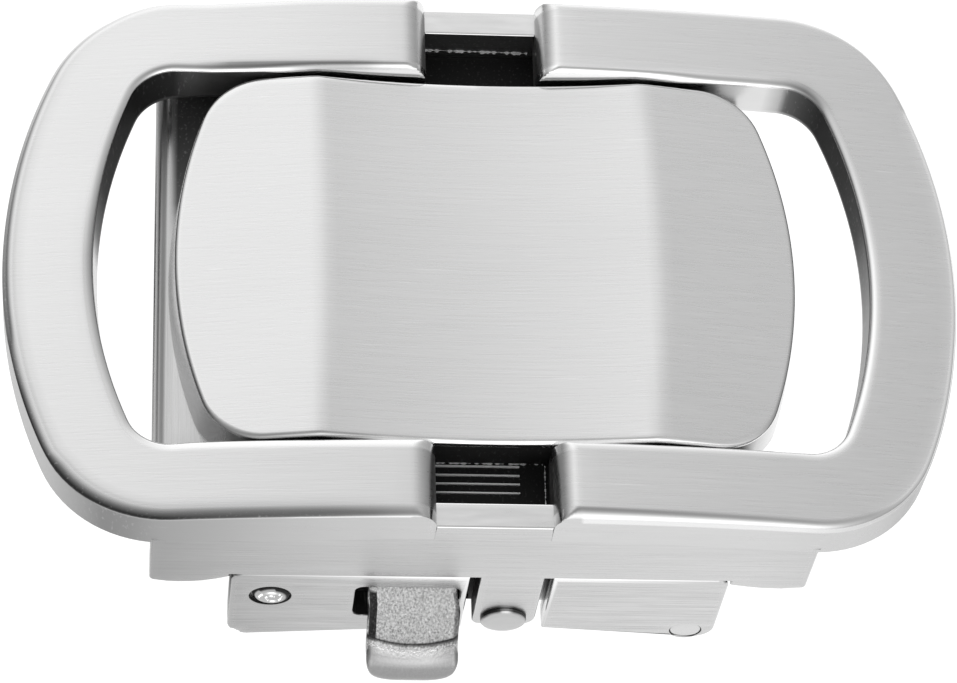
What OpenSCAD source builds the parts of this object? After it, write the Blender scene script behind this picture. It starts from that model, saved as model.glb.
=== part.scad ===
// Ratchet belt buckle: an open arched ring with a faceted plate in its middle, and the strap
// mechanism behind it. X runs along the strap, -Y is the side the release lever is on, +Z is the
// front. The origin is the centre of the strap channel.

/* [Face ring] */
// Length over the ring
ring_length = 65.1; // [62:0.1:68]
// Height over the ring and over the side walls
frame_height = 40; // [39.6:0.1:41]
// Radius of the ring's outer ends
ring_end_r = 36.4; // [34:0.2:44]
// Radius of the ring's outer corners
ring_corner_r = 9.3; // [8:0.1:11]
// Height of the bars' front crown above the strap's centre plane
crown_z = 9.55; // [9.3:0.05:9.8]
// Radius of the arch that the ring is bent to
arch_r = 200; // [180:5:240]
// Thickness of the ring
ring_thickness = 3.6; // [3.2:0.1:4]
// Round-over of the outer front edge
edge_round = 0.6; // [0.4:0.1:0.8]
// Bevel of the opening's front edge
edge_bevel = 0.6; // [0.3:0.1:0.7]
// Length of the ring's opening
opening_length = 52.4; // [51.5:0.1:53.5]
// Height of the ring's opening
opening_height = 28.4; // [28.2:0.1:29.2]
// How far the opening sits below the middle: the upper bars are a little wider
opening_shift = 0.16; // [0:0.02:0.2]
// Radius of the opening's ends
opening_end_r = 33; // [28:1:36]
// Radius of the opening's corners
opening_corner_r = 3; // [2.5:0.25:4.5]
// Half length of the gap in the middle of each bar
notch_half = 3.85; // [3.5:0.05:4.2]
// Height of the wall's edge that shows in each gap
notch_z = 7.7; // [7.4:0.1:8]
// Round-over of the bars' ends at the gaps
bar_end_round = 1.85; // [1.84:0.01:1.9]

/* [Side walls and web] */
// Thickness of the side walls
wall_thickness = 1.86; // [1.7:0.02:2]
// Left end of the side walls
wall_left = -22.36; // [-22.6:0.02:-22]
// Right end of the side walls
wall_right = 21.9; // [21.5:0.1:22.3]
// Height of the hooks' outer corners, where the walls' rear edge steps down at both ends
hook_z = -1.05; // [-1.15:0.05:-0.8]
// Round-over of those corners
hook_round = 0.4; // [0.2:0.1:0.8]
// Clearance between the hooks and the ears' outer sides
hook_gap = 0.09; // [0.06:0.01:0.15]
// Right end of the web
web_right = 18.5; // [17:0.5:19.5]
// Crown of the web's front face
web_front_z = 4.65; // [4.5:0.05:4.8]
// Half height of the strap channel, from the web's back to the bracket's floor
channel_half = 2.1; // [2.08:0.02:2.2]
// Left and right side of the tabs that hold the bracket
tab_left = -0.25; // [-0.35:0.05:-0.15]
tab_right = 4.05; // [3.9:0.05:4.2]
// Lower end of the tabs
tab_z = -7.45; // [-7.6:0.05:-7.4]

/* [Centre plate] */
// Half length of the plate
plate_half_length = 21.06; // [20.8:0.02:21.2]
// Half height of the plate
plate_half_height = 13.76; // [13.5:0.02:13.9]
// Radius of the plate's ends
plate_end_r = 32; // [30:1:36]
// Radius of the plate's corners
plate_corner_r = 4.5; // [4:0.25:5]
// Distance of the two ridges from the middle
ridge_x = 11.2; // [10.5:0.1:12]
// Height of the ridges, of the trough between them and of the plate's ends
ridge_z = 9.0; // [8.8:0.1:9.1]
trough_z = 8.2; // [8:0.1:8.4]
plate_end_z = 7.5; // [7.2:0.1:7.8]
// Clearance between the plate and the web
plate_seat_gap = 0.04; // [0.02:0.02:0.1]

/* [Rear bracket] */
// Clearance between the walls' rear edge and the ears
ear_gap = 0.08; // [0.05:0.01:0.15]
// Left and right side of the left ears
left_ear_left = -16.92; // [-17:0.02:-16.8]
left_ear_right = -0.92; // [-1:0.02:-0.85]
// Left and right side of the right ears
right_ear_left = 4.63; // [4.6:0.01:4.8]
right_ear_right = 16.6; // [16.4:0.05:16.7]
// Height of the ears' rear edge beside the tabs
ear_inner_z = -7.96; // [-8.1:0.02:-7.9]
// Slope of the rear edge of the left and of the right ears
left_slope = 6.3; // [5.5:0.1:7]
right_slope = 6.5; // [5.5:0.1:7]
// Round-over of the ears' outer corners
ear_corner_r = 1.5; // [1.2:0.1:1.8]
// Thickness of the bracket's floors and of its step
floor_t = 0.8; // [0.7:0.05:0.8]
// Thickness of the lugs behind the tabs
lug_t = 0.9; // [0.7:0.1:1]
// Left, right, lower and upper side of the lever's window in the ear
window_left = -8.5; // [-8.6:0.05:-8.3]
window_right = -1.45; // [-1.46:0.02:-1.4]
window_low = -6.2; // [-6.3:0.05:-6.15]
window_high = -1.7; // [-1.75:0.05:-1.6]

/* [Pins] */
// Radius of the three pins' shafts
pin_r = 0.7; // [0.65:0.01:0.72]
// Radial clearance of the pins
pin_play = 0.03; // [0.02:0.01:0.05]
// Position of the pin through the tabs
centre_pin_x = 1.85; // [1.7:0.05:2]
centre_pin_z = -6.33; // [-6.4:0.01:-6.25]
// Radius and height of that pin's head
head_r = 1.57; // [1.4:0.01:1.7]
head_h = 0.42; // [0.3:0.02:0.6]
// Position of the lever's pin
lever_pin_x = -14.2; // [-14.4:0.1:-14]
lever_pin_z = -3.25; // [-3.3:0.01:-3.2]
// Radius and depth of the sink for that pin's staked end
sink_r = 1.4; // [1.3:0.05:1.5]
sink_depth = 0.3; // [0.2:0.02:0.4]
// Position of the clamp's pin
clamp_pin_x = 14.65; // [14.6:0.01:14.7]
clamp_pin_z = -8.05; // [-8.08:0.01:-8]
// Radius and length of that pin's flush head
flush_head_r = 1.05; // [1:0.01:1.08]
flush_head_l = 0.9; // [0.6:0.1:1.2]

/* [Release lever] */
// Thickness of the pawl plate
pawl_t = 1.7; // [1.5:0.05:1.75]
// Half width of the pawl plate
pawl_half = 17.6; // [17:0.1:17.8]
// Left and right side of the arm and the finger pad
pad_left = -7.65; // [-7.7:0.05:-7.5]
pad_right = -1.6; // [-1.7:0.02:-1.6]
// How far the lip stands out from the middle, and its height
lip_y = -22.74; // [-22.9:0.02:-22.6]
lip_z = -7.9; // [-8:0.05:-7.8]
// Radius of the lip
lip_r = 1.2; // [1.1:0.05:1.25]
// Height and half width of the tooth
tooth_h = 1.25; // [1:0.05:1.4]
tooth_half = 6; // [4:0.5:7]

/* [Strap clamp] */
// Thickness of the flap
clamp_t = 1.5; // [1.3:0.05:1.55]
// Half width of the flap
clamp_half = 16.6; // [15:0.1:16.7]
// Distance of the flap's free end from its pin
clamp_reach = 9.6; // [8:0.1:9.8]
// Height of its teeth
clamp_tooth_h = 0.9; // [0.6:0.05:1]

/* [Hidden] */
$fn = 64;
half_h = frame_height / 2;
wall_in = half_h - wall_thickness;
hook_top = 6;
arch_axis_z = crown_z - arch_r;
bore_r = pin_r + pin_play;
side_steps = 16;
lug_out = wall_in - 0.24;
lug_in = lug_out - lug_t;
lug_right = 6.5;
step_left = -1.2;
step_right = step_left + floor_t;
rear_floor_left = -16.2;
bracket_floor_z = -channel_half - floor_t;
boss_r = flush_head_r + 0.15;
notch_z_top = crown_z + 1;
hook_low_left = [
    [-21.2, -1.22], [-20.45, -1.28], [-19.6, -1.22], [-18.82, -1.09], [-17.87, -0.76],
    [left_ear_left - hook_gap, -0.32]
];
hook_low_right = [
    [right_ear_right + hook_gap, -0.6], [17.8, -0.88], [18.94, -1.07], [20.2, -1.12]
];
left_ear_z = ear_inner_z - (left_ear_right - left_ear_left) * tan(left_slope);
right_ear_z = ear_inner_z - (right_ear_right - right_ear_left) * tan(right_slope);

// Points of an arc from angle a to angle b
function arc(cx, cy, r, a, b, n) =
    [for (i = [0:n]) let (t = a + (b - a) * i / n) [cx + r * cos(t), cy + r * sin(t)]];

// Angle at which a corner arc runs into an end arc
function join_angle(a, b, end_r, corner_r) = asin((b - corner_r) / (end_r - corner_r));

// X of the corner arcs' centres
function corner_x(a, b, end_r, corner_r) =
    a - end_r + (end_r - corner_r) * cos(join_angle(a, b, end_r, corner_r));

// Closed outline of half length a and half height b: straight long sides, large end arcs and
// smaller corner arcs that run into both
function outline(a, b, end_r, corner_r) =
    let (
        j = join_angle(a, b, end_r, corner_r),
        cx = corner_x(a, b, end_r, corner_r),
        cy = b - corner_r,
        ex = a - end_r,
        side = [for (i = [1:side_steps - 1]) 1 - 2 * i / side_steps]
    )
    concat(
        arc(ex, 0, end_r, -j, j, 14),
        arc(cx, cy, corner_r, j + 7, 90, 11),
        [for (u = side) [u * cx, b]],
        arc(-cx, cy, corner_r, 90, 173 - j, 11),
        arc(-ex, 0, end_r, 180 - j, 180 + j, 14),
        arc(-cx, -cy, corner_r, 187 + j, 270, 11),
        [for (u = side) [-u * cx, -b]],
        arc(cx, -cy, corner_r, 270, 353 - j, 11)
    );

// Height of the arched front at x
function arch_z(x) = arch_axis_z + sqrt(arch_r * arch_r - x * x);

// Line of points round the ring, drawn in from the outer edge by inset and lowered by drop
function outer_line(inset, drop) =
    [for (p = outline(ring_length / 2 - inset, half_h - inset, ring_end_r - inset,
        ring_corner_r - inset)) [p[0], p[1], arch_z(p[0]) - drop]];

// Line of points round the opening, set out from its edge by outset and lowered by drop
function inner_line(outset, drop) =
    [for (p = outline(opening_length / 2 + outset, opening_height / 2 + outset,
        opening_end_r + outset, opening_corner_r + outset))
        [p[0], p[1] - opening_shift, arch_z(p[0]) - drop]];

// Bar along Y, drawn as a polygon in X and Z
module profile_y(points, y0, y1) {
    translate([0, y1, 0])
        rotate([90, 0, 0])
            linear_extrude(y1 - y0)
                polygon(points);
}

module cylinder_y(x, z, r, y0, y1) {
    translate([x, y1, z])
        rotate([90, 0, 0])
            cylinder(r = r, h = y1 - y0);
}

module both_sides() {
    children();
    mirror([0, 1, 0])
        children();
}

// Arched ring with a rounded outer and a bevelled inner front edge, swept round its outline
module ring_body() {
    lines = [
        outer_line(0, ring_thickness),
        outer_line(0, edge_round),
        outer_line(edge_round * 0.3, edge_round * 0.3),
        outer_line(edge_round, 0),
        inner_line(edge_bevel, 0),
        inner_line(0, edge_bevel),
        inner_line(0, ring_thickness)
    ];
    rows = len(lines);
    n = len(lines[0]);
    polyhedron(
        points = [for (line = lines) each line],
        faces = [
            for (r = [0:rows - 1], i = [0:n - 1])
                let (
                    k = (i + 1) % n,
                    r0 = r * n,
                    r1 = ((r + 1) % rows) * n
                )
                each [[r0 + i, r1 + i, r1 + k], [r0 + i, r1 + k, r0 + k]]
        ]
    );
}

// The ring with the two gaps in its bars, whose ends roll down to the wall's edge
module ring() {
    difference() {
        ring_body();
        translate([-notch_half, -wall_in, 0])
            cube([2 * notch_half, 2 * wall_in, notch_z_top]);
        difference() {
            translate([-notch_half - bar_end_round, -30, notch_z])
                cube([2 * (notch_half + bar_end_round), 60, 4]);
            for (side = [-1, 1])
                cylinder_y(side * (notch_half + bar_end_round), notch_z, bar_end_round, -31, 31);
        }
    }
}

// Side wall with a hook at each end of its rear edge. The hooks' low edges sag a little, from
// their outer corners to where they meet the ears' sides.
module side_wall() {
    ring_under = 5.2;
    arch_in = 17.9;
    profile_y(concat(
        [[wall_right, ring_under]],
        [[arch_in, hook_top], [notch_half, hook_top], [notch_half, notch_z]],
        [[-notch_half, notch_z], [-notch_half, hook_top], [-arch_in, hook_top]],
        [[wall_left, ring_under]],
        arc(wall_left + hook_round, hook_z + hook_round, hook_round, 180, 265, 8),
        hook_low_left,
        [[left_ear_left - hook_gap, 0], [right_ear_right + hook_gap, 0]],
        hook_low_right,
        arc(wall_right - hook_round, hook_z + hook_round, hook_round, 275, 360, 8)
    ), wall_in, half_h);
}

// Tab that reaches down from the wall and carries the pin
module tab() {
    small = 0.5;
    large = 1;
    profile_y(concat(
        [[tab_right, 0.5], [tab_left, 0.5]],
        arc(tab_left + small, tab_z + small, small, 180, 270, 6),
        arc(tab_right - large, tab_z + large, large, 270, 360, 8)
    ), wall_in, half_h);
}

// Web between the walls: arched front, flat back, rounded left edge
module web() {
    lip = 1;
    left_z = web_front_z - wall_left * wall_left / (2 * arch_r);
    swing_left = asin((-wall_left - lip) / arch_r);
    swing_right = asin(web_right / arch_r);
    profile_y(concat(
        [[web_right, channel_half]],
        arc(0, web_front_z - arch_r, arch_r, 90 - swing_right, 90 + swing_left, 18),
        arc(wall_left + lip, left_z - lip, lip, 96, 180, 6),
        [[wall_left, channel_half]]
    ), -wall_in - 0.1, wall_in + 0.1);
}

// Low ribs on the web that show in the gap of the lower bar
module web_ribs() {
    rib_w = 0.22;
    rib_h = 0.14;
    rib_pitch = 0.64;
    first_y = -14.05;
    for (i = [0:3])
        translate([-notch_half, first_y - i * rib_pitch - rib_w / 2, web_front_z - 0.3])
            cube([notch_half + 2, rib_w, 0.3 + rib_h]);
}

module face_frame() {
    color("silver")
        difference() {
            union() {
                ring();
                both_sides() {
                    side_wall();
                    tab();
                }
                web();
                web_ribs();
            }
            cylinder_y(centre_pin_x, centre_pin_z, bore_r, -30, 30);
        }
}

module centre_plate() {
    under_r = arch_r + plate_seat_gap;
    half = plate_half_length;
    sag = ridge_z - trough_z;
    trough_r = (ridge_x * ridge_x + sag * sag) / (2 * sag);
    swing = asin(ridge_x / trough_r);
    color("gainsboro")
        intersection() {
            linear_extrude(14)
                polygon(outline(half, plate_half_height, plate_end_r, plate_corner_r));
            difference() {
                profile_y(concat(
                    [[-half - 1, 1], [half + 1, 1]],
                    [[half + 1, plate_end_z - (ridge_z - plate_end_z) / (half - ridge_x)]],
                    arc(0, trough_z + trough_r, trough_r, 270 + swing, 270 - swing, 16),
                    [[-half - 1, plate_end_z - (ridge_z - plate_end_z) / (half - ridge_x)]]
                ), -20, 20);
                translate([0, 30, web_front_z - arch_r])
                    rotate([90, 0, 0])
                        cylinder(r = under_r, h = 60, $fn = 1440);
            }
        }
}

// Outline of a left ear in X and Z
function left_ear_points() = concat(
    arc(left_ear_left + 0.8, -ear_gap - 0.8, 0.8, 180, 90, 6),
    [[left_ear_right, -ear_gap], [left_ear_right, ear_inner_z]],
    arc(left_ear_left + ear_corner_r, left_ear_z + ear_corner_r * 1.12, ear_corner_r,
        270 - left_slope, 180, 8)
);

// Outline of a right ear in X and Z
function right_ear_points() = concat(
    arc(right_ear_right - 0.8, -ear_gap - 0.8, 0.8, 0, 90, 6),
    [[right_ear_left, -ear_gap], [right_ear_left, ear_inner_z]],
    arc(right_ear_right - ear_corner_r, right_ear_z + ear_corner_r * 1.12, ear_corner_r,
        270 + right_slope, 360, 8)
);

// Window that the lever's arm passes through, with rounded corners
module ear_window() {
    r = 0.65;
    profile_y(concat(
        arc(window_right - r, window_high - r, r, 0, 90, 6),
        arc(window_left + r, window_high - r, r, 90, 180, 6),
        arc(window_left + r, window_low + r, r, 180, 270, 6),
        arc(window_right - r, window_low + r, r, 270, 360, 6)
    ), -half_h - 1, -wall_in + 0.5);
}

// Stepped floor: the front floor carries the strap's fixed end, the step stops it, and the rear
// floor closes the bracket behind the lever
module bracket_floor() {
    ear_join = wall_in + 0.3;
    rear_drop = (step_left - rear_floor_left) * tan(left_slope);
    rear_z = ear_inner_z + 0.12;
    translate([step_left, -lug_out, bracket_floor_z])
        cube([lug_right - step_left, 2 * lug_out, floor_t]);
    translate([right_ear_left + 0.3, -ear_join, bracket_floor_z])
        cube([right_ear_right - right_ear_left - 0.6, 2 * ear_join, floor_t]);
    translate([step_left, -lug_out, rear_z])
        cube([floor_t, 2 * lug_out, -channel_half - rear_z]);
    profile_y([
        [step_right, rear_z], [step_right, rear_z + floor_t],
        [step_left, rear_z + floor_t], [rear_floor_left, rear_z - rear_drop + floor_t],
        [rear_floor_left, rear_z - rear_drop], [step_left, rear_z]
    ], -lug_out, lug_out);
    profile_y([
        [left_ear_right - 0.1, rear_z], [left_ear_right - 0.1, rear_z + floor_t],
        [step_left, rear_z + floor_t], [rear_floor_left, rear_z - rear_drop + floor_t],
        [rear_floor_left, rear_z - rear_drop], [step_left, rear_z]
    ], -ear_join, ear_join);
}

// Lug behind each tab
module lug() {
    profile_y([
        [step_left, ear_inner_z], [lug_right, ear_inner_z],
        [lug_right, -channel_half], [step_left, -channel_half]
    ], lug_in, lug_out);
}

module rear_bracket() {
    color("lightgray")
        difference() {
            union() {
                both_sides() {
                    profile_y(left_ear_points(), wall_in, half_h);
                    profile_y(right_ear_points(), wall_in, half_h);
                    cylinder_y(clamp_pin_x, clamp_pin_z, boss_r, wall_in, half_h);
                    lug();
                }
                bracket_floor();
            }
            ear_window();
            cylinder_y(centre_pin_x, centre_pin_z, bore_r, -30, 30);
            cylinder_y(lever_pin_x, lever_pin_z, bore_r, -30, 30);
            cylinder_y(lever_pin_x, lever_pin_z, sink_r, -30, -half_h + sink_depth);
            cylinder_y(clamp_pin_x, clamp_pin_z, bore_r, -30, 30);
            cylinder_y(clamp_pin_x, clamp_pin_z, flush_head_r + pin_play, -30,
                -half_h + flush_head_l + pin_play);
        }
}

module centre_pin() {
    color("darkgray") {
        cylinder_y(centre_pin_x, centre_pin_z, pin_r, -half_h, half_h);
        cylinder_y(centre_pin_x, centre_pin_z, head_r, -half_h - head_h, -half_h);
    }
}

module lever_pin() {
    color("darkgray") {
        cylinder_y(lever_pin_x, lever_pin_z, pin_r, -half_h + sink_depth - 0.1, half_h);
        cylinder_y(lever_pin_x, lever_pin_z, sink_r - 0.15, -half_h + 0.06,
            -half_h + sink_depth - 0.02);
    }
}

module clamp_pin() {
    color("darkgray") {
        cylinder_y(clamp_pin_x, clamp_pin_z, pin_r, -half_h + 0.1, half_h);
        cylinder_y(clamp_pin_x, clamp_pin_z, flush_head_r, -half_h, -half_h + flush_head_l);
    }
}

// Pawl plate with its barrel and tooth
module pawl() {
    barrel_r = 1.1;
    top_z = lever_pin_z + barrel_r;
    tooth_x = -3;
    cylinder_y(lever_pin_x, lever_pin_z, barrel_r, -pawl_half, pawl_half);
    translate([lever_pin_x, -pawl_half, top_z - pawl_t])
        cube([pad_right - lever_pin_x, 2 * pawl_half, pawl_t]);
    profile_y([
        [tooth_x - 2.2, top_z - 0.1], [tooth_x, top_z - 0.1],
        [tooth_x, top_z + tooth_h], [tooth_x - 0.3, top_z + tooth_h]
    ], -tooth_half, tooth_half);
}

// Arm and finger pad, drawn in Y and Z and cut to a shape with rounded lower corners
module finger_pad() {
    arm_top = -2;
    arm_low = lever_pin_z + 1.1 - pawl_t;
    pad_in = -half_h - 0.35;
    corner_r = 1.8;
    low = lip_z - lip_r - 0.5;
    intersection() {
        union() {
            translate([pad_left, 0, 0])
                rotate([90, 0, 90])
                    linear_extrude(pad_right - pad_left)
                        polygon([
                            [-pawl_half + 0.5, arm_low], [-pawl_half + 0.5, -2.16],
                            [-half_h + 0.4, arm_top], [-22.25, -6.05],
                            [lip_y - lip_r * 0.96, lip_z - 0.1], [lip_y, lip_z - lip_r * 0.9],
                            [lip_y + lip_r * 0.96, lip_z - 0.1], [-21.1, -6.3],
                            [pad_in, -4.6], [pad_in, arm_low]
                        ]);
            translate([pad_left, lip_y, lip_z])
                rotate([0, 90, 0])
                    cylinder(r = lip_r, h = pad_right - pad_left);
        }
        profile_y(concat(
            [[pad_right, 0], [pad_left, 0]],
            arc(pad_left + corner_r, lip_z - lip_r + corner_r, corner_r, 180, 270, 8),
            arc(pad_right - corner_r, lip_z - lip_r + corner_r, corner_r, 270, 360, 8)
        ), -26, -10);
    }
}

module release_lever() {
    color("gray")
        difference() {
            union() {
                pawl();
                finger_pad();
            }
            cylinder_y(lever_pin_x, lever_pin_z, bore_r, -30, 30);
        }
}

// Flap with teeth, drawn about its pin and turned to the slope of the ears' rear edge
module strap_clamp() {
    barrel_r = 1;
    rear = -0.9;
    first_tooth = -2.4;
    tooth_pitch = 1.7;
    color("gray")
        translate([clamp_pin_x, 0, clamp_pin_z])
            rotate([0, right_slope, 0])
                difference() {
                    union() {
                        cylinder_y(0, 0, barrel_r, -clamp_half, clamp_half);
                        translate([-clamp_reach, -clamp_half, rear])
                            cube([clamp_reach + 1.5, 2 * clamp_half, clamp_t]);
                        for (i = [0:3])
                            profile_y([
                                [first_tooth - i * tooth_pitch, rear + clamp_t - 0.1],
                                [first_tooth - i * tooth_pitch, rear + clamp_t + clamp_tooth_h],
                                [first_tooth - (i + 0.9) * tooth_pitch, rear + clamp_t - 0.1]
                            ], -clamp_half + 1, clamp_half - 1);
                    }
                    cylinder_y(0, 0, bore_r, -30, 30);
                }
}

face_frame();
centre_plate();
rear_bracket();
centre_pin();
release_lever();
lever_pin();
strap_clamp();
clamp_pin();
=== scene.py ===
import math

import bmesh
import bpy
import numpy as np
from mathutils import Matrix, Vector
from mathutils.geometry import delaunay_2d_cdt


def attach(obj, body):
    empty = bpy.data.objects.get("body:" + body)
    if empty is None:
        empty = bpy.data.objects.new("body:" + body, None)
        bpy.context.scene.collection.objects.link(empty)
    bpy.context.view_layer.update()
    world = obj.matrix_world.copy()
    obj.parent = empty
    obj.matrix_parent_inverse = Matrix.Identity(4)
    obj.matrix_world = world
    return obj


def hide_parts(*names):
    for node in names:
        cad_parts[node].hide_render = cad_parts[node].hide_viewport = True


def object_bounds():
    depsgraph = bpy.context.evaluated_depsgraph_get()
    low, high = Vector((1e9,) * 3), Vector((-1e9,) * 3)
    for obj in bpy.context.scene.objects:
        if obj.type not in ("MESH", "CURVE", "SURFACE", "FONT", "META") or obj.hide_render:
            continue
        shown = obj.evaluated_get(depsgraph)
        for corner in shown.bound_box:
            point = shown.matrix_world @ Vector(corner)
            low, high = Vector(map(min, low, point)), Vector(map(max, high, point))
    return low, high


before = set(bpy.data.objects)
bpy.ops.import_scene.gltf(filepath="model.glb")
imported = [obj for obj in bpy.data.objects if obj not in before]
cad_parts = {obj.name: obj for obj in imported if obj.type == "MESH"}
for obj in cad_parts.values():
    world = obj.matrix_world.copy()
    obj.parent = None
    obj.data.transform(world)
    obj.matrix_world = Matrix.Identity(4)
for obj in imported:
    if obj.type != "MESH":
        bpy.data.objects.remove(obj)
cad_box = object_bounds()

# Face ring
# The open ring that frames the buckle: a zinc casting with a gently arched front, satin brushed
# along the strap and nickel plated. Both long bars stop at a gap, where their ends roll down.

MM = 0.001
RING = (32.55, 20.0, 36.4, 9.3)  # half length, half width, end radius, corner radius
OPENING = (26.2, 14.2, 33.0, 3.0)  # the same for the opening
OPENING_SHIFT = 0.16  # how far the opening sits towards -Y
CROWN = 9.55  # height of the front in the middle
ARCH_R = 200.0  # radius of the arch
RING_T = 3.6  # thickness of the ring
GAP = 3.85  # half width of the gap in each bar
ROLL = 1.85  # radius that the bars' ends roll down along
ROLL_END = GAP + ROLL
STRIP_Z = 7.7  # height of the strip in the gap, where the rolls end
EDGE_R, BACK_R = 0.6, 0.15  # roundings of the front's edges and of the opening's back edge
QUARTER = np.radians(np.linspace(0, 90, 9))
BAR_POINTS = ROLL_END - ROLL * np.cos(np.radians(np.linspace(0, 90, 13)))


def arc(cx, cy, r, a, b, n):
    """Points on a circle of radius r about (cx, cy), n + 1 of them from angle a to angle b."""
    t = np.radians(np.linspace(a, b, n + 1))
    return np.column_stack((cx + r * np.cos(t), cy + r * np.sin(t)))


def arch(x, r=ARCH_R):
    """Height of a circle of radius r about the arch's axis, which lies 200 mm under the crown."""
    return CROWN - ARCH_R + np.sqrt(r * r - x * x)


def half_outline(size, grow, lead, steps):
    """Right half of a rounded outline, from its middle top round to its middle bottom: a straight
    bar, a corner arc, the large end arc, and the same again mirrored. The arcs are tangent. Size is
    half length, half width, end radius and corner radius, and grow is added to all four. The bar
    has points at lead, in X, and from there on. Steps counts the rest of the bar's points and the
    steps of both arcs."""
    a, b, end_r, corner_r = np.array(size) + grow
    bar_points, corner_steps, end_steps = steps
    join = math.degrees(math.asin((b - corner_r) / (end_r - corner_r)))
    corner_x = a - end_r + (end_r - corner_r) * math.cos(math.radians(join))
    bar = np.concatenate((lead[:-1], np.linspace(lead[-1], corner_x, bar_points)[:-1]))
    upper = np.vstack((
        np.column_stack((bar, np.full(len(bar), b))),
        arc(corner_x, b - corner_r, corner_r, 90, join, corner_steps)[:-1],
        arc(a - end_r, 0, end_r, join, 0, end_steps),
    ))
    return np.vstack((upper, upper[-2::-1] * (1, -1)))


def grid_quads(rows, points, close_rows=False):
    """Quads between neighbours on a grid of rows of points, numbered row by row. The points of a
    row close into a loop, or with close_rows the rows do."""
    r, p = np.meshgrid(np.arange(rows if close_rows else rows - 1),
                       np.arange(points - 1 if close_rows else points), indexing="ij")
    s, q = (r + 1) % rows, (p + 1) % points
    corners = (r * points + p, r * points + q, s * points + q, s * points + p)
    return np.stack(corners, -1).reshape(-1, 4).tolist()


def new_piece(name, points, faces, body, nodes, material, marks=None, crease=38):
    """Mesh object from points in millimetres. Its faces are turned outwards, edges sharper than
    the crease angle stay sharp, and large faces govern the normals beside small roundings."""
    mesh = bpy.data.meshes.new(name)
    mesh.from_pydata((np.asarray(points) * MM).tolist(), [], faces)
    mesh.update()
    for label, values in (marks or {}).items():
        layer = mesh.attributes.new(label, "FLOAT", "POINT")
        layer.data.foreach_set("value", np.asarray(values, np.float32))
    work = bmesh.new()
    work.from_mesh(mesh)
    bmesh.ops.remove_doubles(work, verts=work.verts, dist=1e-7)
    bmesh.ops.recalc_face_normals(work, faces=work.faces)
    work.to_mesh(mesh)
    work.free()
    mesh.shade_smooth()
    mesh.set_sharp_from_angle(angle=math.radians(crease))
    piece = bpy.data.objects.new(name, mesh)
    bpy.context.scene.collection.objects.link(piece)
    weigh = piece.modifiers.new("even_normals", "WEIGHTED_NORMAL")
    weigh.mode = "FACE_AREA"
    weigh.weight = 100
    weigh.keep_sharp = True
    mesh.materials.append(material)
    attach(piece, body)
    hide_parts(*nodes)


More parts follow.
